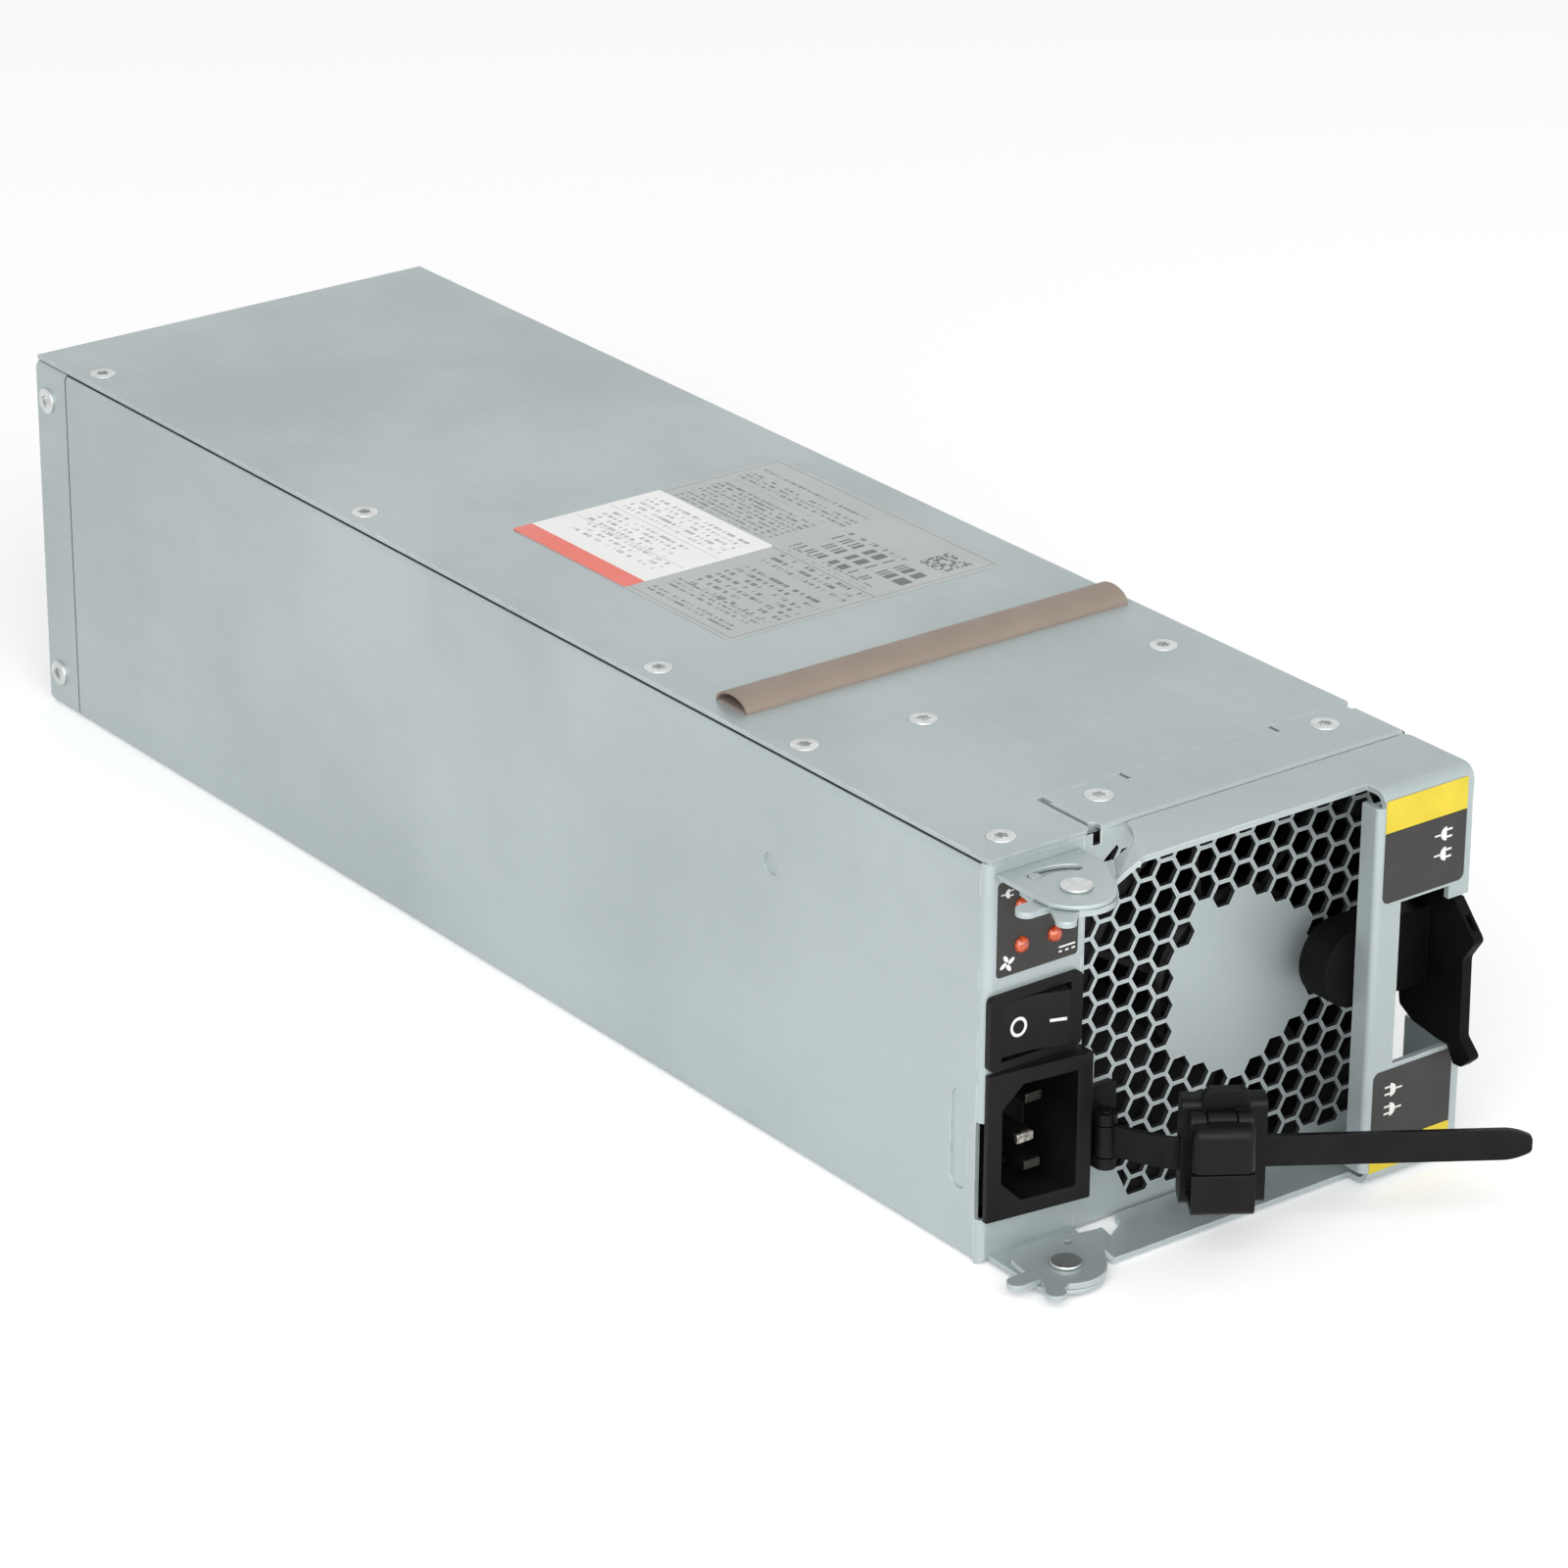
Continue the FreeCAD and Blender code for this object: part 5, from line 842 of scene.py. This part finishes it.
def film_on_face(name, x, z, y, material, body, corner=1.0, corners=None):
    """A label on a face that looks forward; y is the face's distance behind the front."""
    film = slab(name, at(x[0], y - FILM, z[0]), at(x[1], y, z[1]))
    if corner:
        test = corners or (lambda edge: True)
        round_edges(film, corner * MM, lambda edge: along(edge, 1) and test(edge), 5)
    return dress(film, material, body)


RATING_X = (25, 95)
RATING_Y = (113, 189)


def rating_small(tree, x, y):
    """The finest rows, in three blocks."""
    return print_rows(tree, x, y, 0.62, 1.5, 0.5, [
        ((3, 12), (4, 33)), ((39, 55), (40, 72)), ((56, 66), (36, 73))])


def rating_large(tree, x, y):
    """The larger rows, in three blocks."""
    return print_rows(tree, x, y, 0.42, 0.95, 0.47, [
        ((12, 37), (3, 31)), ((39, 41), (6, 34)), ((54.5, 57), (13, 34))])


def rating_codes(tree, x, y):
    """Three rows of bars and a field of squares."""
    bars = bar_rows(tree, x, y, 1.7, [
        ((45.8, 49.0), (3, 30)), ((50.4, 53.6), (4, 33)), ((41.4, 44.0), (10, 34))])
    squares = square_code(tree, x, y, 1.6, (57, 65), (3.5, 11.5))
    return arithmetic(tree, "MAXIMUM", bars, squares)


def rating_border(tree, x, y):
    """A fine line inside the edge."""
    width = RATING_X[1] - RATING_X[0]
    depth = RATING_Y[1] - RATING_Y[0]
    outer = window(tree, x, y, (1.0, width - 1.0), (1.0, depth - 1.0))
    inner = window(tree, x, y, (1.25, width - 1.25), (1.25, depth - 1.25))
    line = window(tree, x, y, (37.6, 37.9), (1.0, depth - 40))
    return arithmetic(tree, "MAXIMUM", arithmetic(tree, "SUBTRACT", outer, inner), line)


rating = label_finish("rating_print", (RATING_X[0], RATING_Y[0]), (0.41, 0.44, 0.43, 1), [
    (rating_small, INK, 0.7),
    (rating_large, INK, 0.75),
    (rating_codes, INK, 0.85),
    (rating_border, INK, 0.6),
])
film_on_top("rating_label", RATING_X, RATING_Y, rating, 2.5)

STICKER_X = (25, 63)
STICKER_Y = (149, 189)


def sticker_rows(tree, x, y):
    """The rows of the white sticker, in three blocks."""
    return print_rows(tree, x, y, 0.5, 1.15, 0.47, [
        ((7, 15), (4, 33)), ((16, 24), (8, 36)), ((25, 36), (3, 37))])


def sticker_lines(tree, x, y):
    """Two fine lines between the blocks."""
    first = window(tree, x, y, (15.4, 15.65), (1, 39))
    second = window(tree, x, y, (24.4, 24.65), (1, 39))
    return arithmetic(tree, "MAXIMUM", first, second)


sticker = label_finish("sticker_print", (STICKER_X[0], STICKER_Y[0]), (0.80, 0.80, 0.79, 1), [
    (sticker_rows, INK, 0.55),
    (sticker_lines, INK, 0.4),
], band=(5, (0.74, 0.16, 0.12, 1)))
film_on_top("white_sticker", STICKER_X, STICKER_Y, sticker, 0.6, FILM)

dark_print = solid_print("dark_print", (0.019, 0.0178, 0.0165, 1))
yellow_print = solid_print("yellow_print", (0.62, 0.485, 0.02, 1))
pale_print = solid_print("pale_print", PALE_PRINT)

film_on_face("status_label", (2.5, 22.0), (59.7, 79.1), 0.0, dark_print, "chassis", 0.8)

PLATE_Y = -20.0
UPPER_LABEL_X = (80.7, 101.6)
LOWER_LABEL_X = (80.7, 101.2)
film_on_face("upper_dark_label", UPPER_LABEL_X, (60.7, 75.5), PLATE_Y, dark_print, "handle", 1.5,
             lambda edge: middle(edge).z < at(0, 0, 68).z)
film_on_face("upper_yellow_label", UPPER_LABEL_X, (75.4, 82.2), PLATE_Y, yellow_print, "handle", 0.0)
film_on_face("lower_dark_label", LOWER_LABEL_X, (8.9, 24.7), PLATE_Y, dark_print, "handle", 1.5,
             lambda edge: middle(edge).z > at(0, 0, 15).z)
film_on_face("lower_yellow_label", LOWER_LABEL_X, (3.2, 9.0), PLATE_Y, yellow_print, "handle", 0.0)

# Pictograms: plug, fan and direct current, cut from thin film.

INK_FILM = 0.05


def ink_slab(name, x, z, y):
    """A printed bar on a forward face."""
    return slab(name, at(x[0], y - INK_FILM, z[0]), at(x[1], y, z[1]))


def ink_disc(name, x, z, radius, y):
    """A printed dot on a forward face."""
    return disc(name, at(x, y - INK_FILM / 2, z), "Y", radius * MM, INK_FILM * MM, 24)


def plug_sign(name, x, z, size, y, body, facing=1):
    """A mains plug seen from the side: a half round body with two pins and a cord."""
    face = y - FILM
    body_disc = ink_disc(name + "_body", x, z, 0.5 * size, face)
    edit(body_disc)
    bpy.ops.mesh.select_all(action="SELECT")
    bpy.ops.mesh.bisect(plane_co=at(x, 0, z), plane_no=(facing, 0, 0), use_fill=True, clear_outer=True)
    done()
    parts = [body_disc]
    for rise in (-0.26, 0.26):
        parts.append(ink_slab(name + "_pin", sorted((x, x + facing * 0.5 * size)),
                              (z + (rise - 0.07) * size, z + (rise + 0.07) * size), face))
    parts.append(ink_slab(name + "_cord", sorted((x - facing * 1.05 * size, x - facing * 0.45 * size)),
                          (z - 0.06 * size, z + 0.06 * size), face))
    return dress(join(name, parts), pale_print, body)


def fan_sign(name, x, z, size, y):
    """A four bladed fan."""
    face = y - FILM
    parts = []
    for index in range(4):
        angle = math.radians(90 * index + 20)
        cx = x + 0.3 * size * math.cos(angle)
        cz = z + 0.3 * size * math.sin(angle)
        blade = ink_disc("%s_blade_%d" % (name, index), cx, cz, 0.25 * size, face)
        edit(blade, "VERT")
        bpy.ops.mesh.select_all(action="SELECT")
        bpy.ops.transform.resize(value=(1, 1, 0.5), center_override=at(cx, 0, cz))
        done()
        parts.append(turned(blade, at(cx, 0, cz), "Y", -90 * index - 35))
    return dress(join(name, parts), pale_print, "chassis")


def direct_current_sign(name, x, z, width, y):
    """A bar over three dashes."""
    face = y - FILM
    parts = [ink_slab(name + "_bar", (x, x + width), (z + 0.35, z + 0.7), face)]
    dash = width / 5
    for index in range(3):
        parts.append(ink_slab(name + "_dash", (x + 2 * dash * index, x + 2 * dash * index + dash),
                              (z - 0.55, z - 0.2), face))
    return dress(join(name, parts), pale_print, "chassis")


plug_sign("mains_sign", 5.2, 76.6, 1.9, 0.0, "chassis")
fan_sign("fan_sign", 5.0, 62.3, 3.4, 0.0)
direct_current_sign("direct_current_sign", 17.4, 61.6, 3.9, 0.0)
for index, (x, z) in enumerate(((96.5, 71.6), (96.5, 67.4))):
    plug_sign("upper_plug_sign_%d" % index, x, z, 2.9, PLATE_Y, "handle")
for index, (x, z) in enumerate(((85.2, 20.2), (85.2, 16.0))):
    plug_sign("lower_plug_sign_%d" % index, x, z, 2.9, PLATE_Y, "handle", -1)

# Lamp lenses: domes through the status label.

LENS_RADIUS = 1.65


def lens_domes():
    """Half round lenses, one in front of each lamp."""
    domes = []
    for index, (low, high) in enumerate(solid_boxes("status_lamps")):
        centre = Vector(((low.x + high.x) / 2, at(0, -0.05, 0).y, (low.z + high.z) / 2))
        bpy.ops.object.select_all(action="DESELECT")
        bpy.ops.mesh.primitive_uv_sphere_add(segments=32, ring_count=16, radius=LENS_RADIUS * MM,
                                             location=centre, scale=(1, 0.85, 1))
        dome = settle(bpy.context.object, "lamp_lens_%d" % index)
        edit(dome)
        bpy.ops.mesh.select_all(action="SELECT")
        bpy.ops.mesh.bisect(plane_co=centre, plane_no=(0, 1, 0), use_fill=True, clear_outer=True)
        done()
        domes.append(smooth(dome))
    return dress(join("lamp_lenses", domes), FINISHES["amber_lens"], "chassis")


lens_domes()

# Rocker: its O side is pressed in and its I side stands out; a ring and a bar mark them.
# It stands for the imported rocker, which rests the other way round.

SWITCH_X = 11.35
SWITCH_Z = 48.9
AXLE_Y = 1.5
ROCKER_HALF = (7.4, 5.8)
ROCKER_REST = -12
CROWN = 3.9
VALLEY = 1.0
ROCKER_BACK = 0.5
ROCKER_ROOT = 3.0
ROOT_SHARE = 0.45
RING_PLACE = (7.35, -1.1)
RING_LEAN = -4.3
RING_RADIUS = 1.6
RING_STROKE = 0.3
BAR_PLACE = (15.35, -3.0)
BAR_LEAN = -19.7
BAR_HALF = (1.7, 0.05, 0.3)


def switch_rocker():
    """A rocker of two flats that meet in a valley, tipped about its axle."""
    axle = at(SWITCH_X, AXLE_Y, SWITCH_Z)
    rocker = slab("switch_rocker", axle - Vector((ROCKER_HALF[0], CROWN, ROCKER_HALF[1])) * MM,
                  axle + Vector((ROCKER_HALF[0], ROCKER_BACK, ROCKER_HALF[1])) * MM)
    edit(rocker)
    bpy.ops.mesh.select_all(action="SELECT")
    bpy.ops.mesh.bisect(plane_co=axle, plane_no=(1, 0, 0))
    pick("faces", lambda face: face.normal.y > 0.99)
    bpy.ops.mesh.extrude_region_move(TRANSFORM_OT_translate={"value": (0, ROCKER_ROOT * MM, 0)})
    bpy.ops.transform.resize(value=(ROOT_SHARE, 1, 1), center_override=axle)
    bpy.ops.mesh.select_mode(type="VERT")
    pick("verts", lambda vert: abs(vert.co.x - axle.x) < 0.1 * MM and vert.co.y < axle.y - MM)
    bpy.ops.transform.translate(value=(0, VALLEY * MM, 0))
    bpy.ops.mesh.select_mode(type="EDGE")
    pick("edges", lambda edge: edge.calc_face_angle(0) > 0.5 and middle(edge).y < axle.y)
    bpy.ops.mesh.bevel(offset=0.35 * MM, segments=3, profile=0.5)
    done()
    turned(smooth(rocker, 40), axle, "Z", ROCKER_REST)
    dress(rocker, FINISHES["black_plastic"], "rocker_body")
    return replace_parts(rocker, "rocker")


def ring_mark():
    """The ring, lying on the pressed half."""
    centre = at(*RING_PLACE, SWITCH_Z)
    bpy.ops.object.select_all(action="DESELECT")
    bpy.ops.mesh.primitive_torus_add(location=centre, rotation=(math.pi / 2, 0, 0), major_segments=48,
                                     minor_segments=8, major_radius=RING_RADIUS * MM,
                                     minor_radius=RING_STROKE * MM)
    ring = settle(bpy.context.object, "off_ring_mark")
    edit(ring, "VERT")
    bpy.ops.mesh.select_all(action="SELECT")
    bpy.ops.transform.resize(value=(1, 0.25, 1.08), center_override=centre)
    done()
    turned(ring, centre, "Z", RING_LEAN)
    return dress(smooth(ring), pale_print, "rocker_body")


def bar_mark():
    """The bar, lying on the raised half."""
    centre = at(*BAR_PLACE, SWITCH_Z)
    bar = slab("on_bar_mark", centre - Vector(BAR_HALF) * MM, centre + Vector(BAR_HALF) * MM)
    turned(bar, centre, "Z", BAR_LEAN)
    return dress(bar, pale_print, "rocker_body")


switch_rocker()
ring_mark()
bar_mark()

# Gasket: a folded strip, open at its ends.

def folded_gasket():
    """A half round tube of cloth, open at its ends."""
    low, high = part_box("emi_gasket")
    half = (high.y - low.y) / 2
    base = Vector(((low.x + high.x) / 2, low.y + half, low.z))
    strip = disc("folded_gasket", base, "X", half, high.x - low.x, 64)
    edit(strip, "VERT")
    bpy.ops.mesh.select_all(action="SELECT")
    bpy.ops.transform.resize(value=(1, 1, (high.z - low.z) / half), center_override=base)
    bpy.ops.mesh.bisect(plane_co=base, plane_no=(0, 0, -1), use_fill=True, clear_outer=True)
    done()
    edit(strip)
    pick("faces", lambda face: abs(face.normal.x) > 0.99)
    bpy.ops.mesh.inset(thickness=0.5 * MM, use_individual=True)
    bpy.ops.mesh.extrude_region_move()
    for side in (-1, 1):
        pick("faces", lambda face: face.normal.x * side > 0.99
             and 5 * MM * MM < face.calc_area() < 22 * MM * MM)
        bpy.ops.transform.translate(value=(-6 * MM * side, 0, 0))
    done()
    smooth(strip, 40)
    dress(strip, FINISHES["conductive_gasket"], "chassis")
    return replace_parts(strip, "emi_gasket")


folded_gasket()

# Floor, light and camera.

def pale_floor():
    """A wide plain floor that takes the object's soft shadow; its glow is painted weaker near the object, a
    painted shade around it.
    """
    bpy.ops.object.select_all(action="DESELECT")
    bpy.ops.mesh.primitive_plane_add(size=12, location=(0, 0, min(0.0, packed_bounds[0].z)))
    floor = bpy.context.object
    floor.name = "studio_floor"
    material, tree, shader = new_material("studio_floor")
    place = object_place(tree)
    clouds = use_group(tree, CLOUDY, Vector=place, Scale=0.8, Detail=2.0)["Mask"]
    tone = blend_colours(tree, clouds, (0.93, 0.93, 0.93, 1), (0.92, 0.92, 0.92, 1))
    tree.links.new(tone, shader.inputs["Base Color"])
    shader.inputs["Roughness"].default_value = 0.9
    shader.inputs["Specular IOR Level"].default_value = 0.0
    path = tree.nodes.new("ShaderNodeLightPath")
    glossy = arithmetic(tree, "MAXIMUM", path.outputs["Is Glossy Ray"], path.outputs["Is Transmission Ray"])
    shown = arithmetic(tree, "MAXIMUM", path.outputs["Is Camera Ray"], glossy)
    shader.inputs["Emission Color"].default_value = (1, 1, 1, 1)
    far = put(tree, "ShaderNodeVectorMath", {"operation": "LENGTH"}, _0=place).outputs["Value"]
    # Painted shade: the floor's glow rises from 0.14 near the object to 0.48 far from it, so the floor is
    # darker around the object.
    lift = between(tree, far, 0.8, 3.0, 0.14, 0.48)
    tree.links.new(arithmetic(tree, "MULTIPLY", shown, lift), shader.inputs["Emission Strength"])
    floor.data.materials.append(material)


def area_light(name, place, aim, size, power):
    """A soft square light at a place, pointed at another."""
    light = bpy.data.lights.new(name, "AREA")
    light.size = size
    light.energy = power
    lamp = bpy.data.objects.new(name, light)
    bpy.context.scene.collection.objects.link(lamp)
    lamp.location = place
    lamp.rotation_euler = (Vector(aim) - Vector(place)).to_track_quat("-Z", "Y").to_euler()


def studio_world():
    """White behind the object and in its reflections, dimmer as light."""
    world = bpy.data.worlds.new("studio")
    bpy.context.scene.world = world
    world.use_nodes = True
    tree = world.node_tree
    tree.nodes.clear()
    path = tree.nodes.new("ShaderNodeLightPath")
    glossy = arithmetic(tree, "MAXIMUM", path.outputs["Is Glossy Ray"], path.outputs["Is Transmission Ray"])
    shown = arithmetic(tree, "MAXIMUM", path.outputs["Is Camera Ray"], glossy)
    strength = put(tree, "ShaderNodeMapRange", Value=shown, To_Min=0.62, To_Max=1.0)
    back = put(tree, "ShaderNodeBackground", Color=(1, 1, 1, 1), Strength=strength.outputs[0])
    output = tree.nodes.new("ShaderNodeOutputWorld")
    tree.links.new(back.outputs[0], output.inputs["Surface"])


CAMERA_LENS = 138.14
CAMERA_PLACE = Vector((-0.69067, -0.94697, 0.54326))
CAMERA_TARGET = Vector((-0.00225, -0.042728, 0.04149))
CAMERA_ROLL = 0.363


def studio_camera():
    """The camera that takes in the whole object from its front left."""
    data = bpy.data.cameras.new("camera")
    data.lens = CAMERA_LENS
    data.sensor_width = 36.0
    data.clip_end = 20
    camera = bpy.data.objects.new("camera", data)
    bpy.context.scene.collection.objects.link(camera)
    turn = (CAMERA_TARGET - CAMERA_PLACE).to_track_quat("-Z", "Y").to_matrix().to_4x4()
    roll = Matrix.Rotation(math.radians(CAMERA_ROLL), 4, "Z")
    camera.matrix_world = Matrix.Translation(CAMERA_PLACE) @ turn @ roll
    bpy.context.scene.camera = camera


pale_floor()
studio_world()
area_light("key_light", (-1.2, -1.45, 0.95), (0, -0.1, 0.04), 2.2, 45)
area_light("front_light", (0.25, -1.9, 0.6), (0, -0.17, 0.04), 1.2, 8)
area_light("top_light", (0.5, 0.4, 1.6), (0, 0, 0.04), 1.6, 1.5)
studio_camera()
bpy.context.scene.view_settings.view_transform = "Standard"
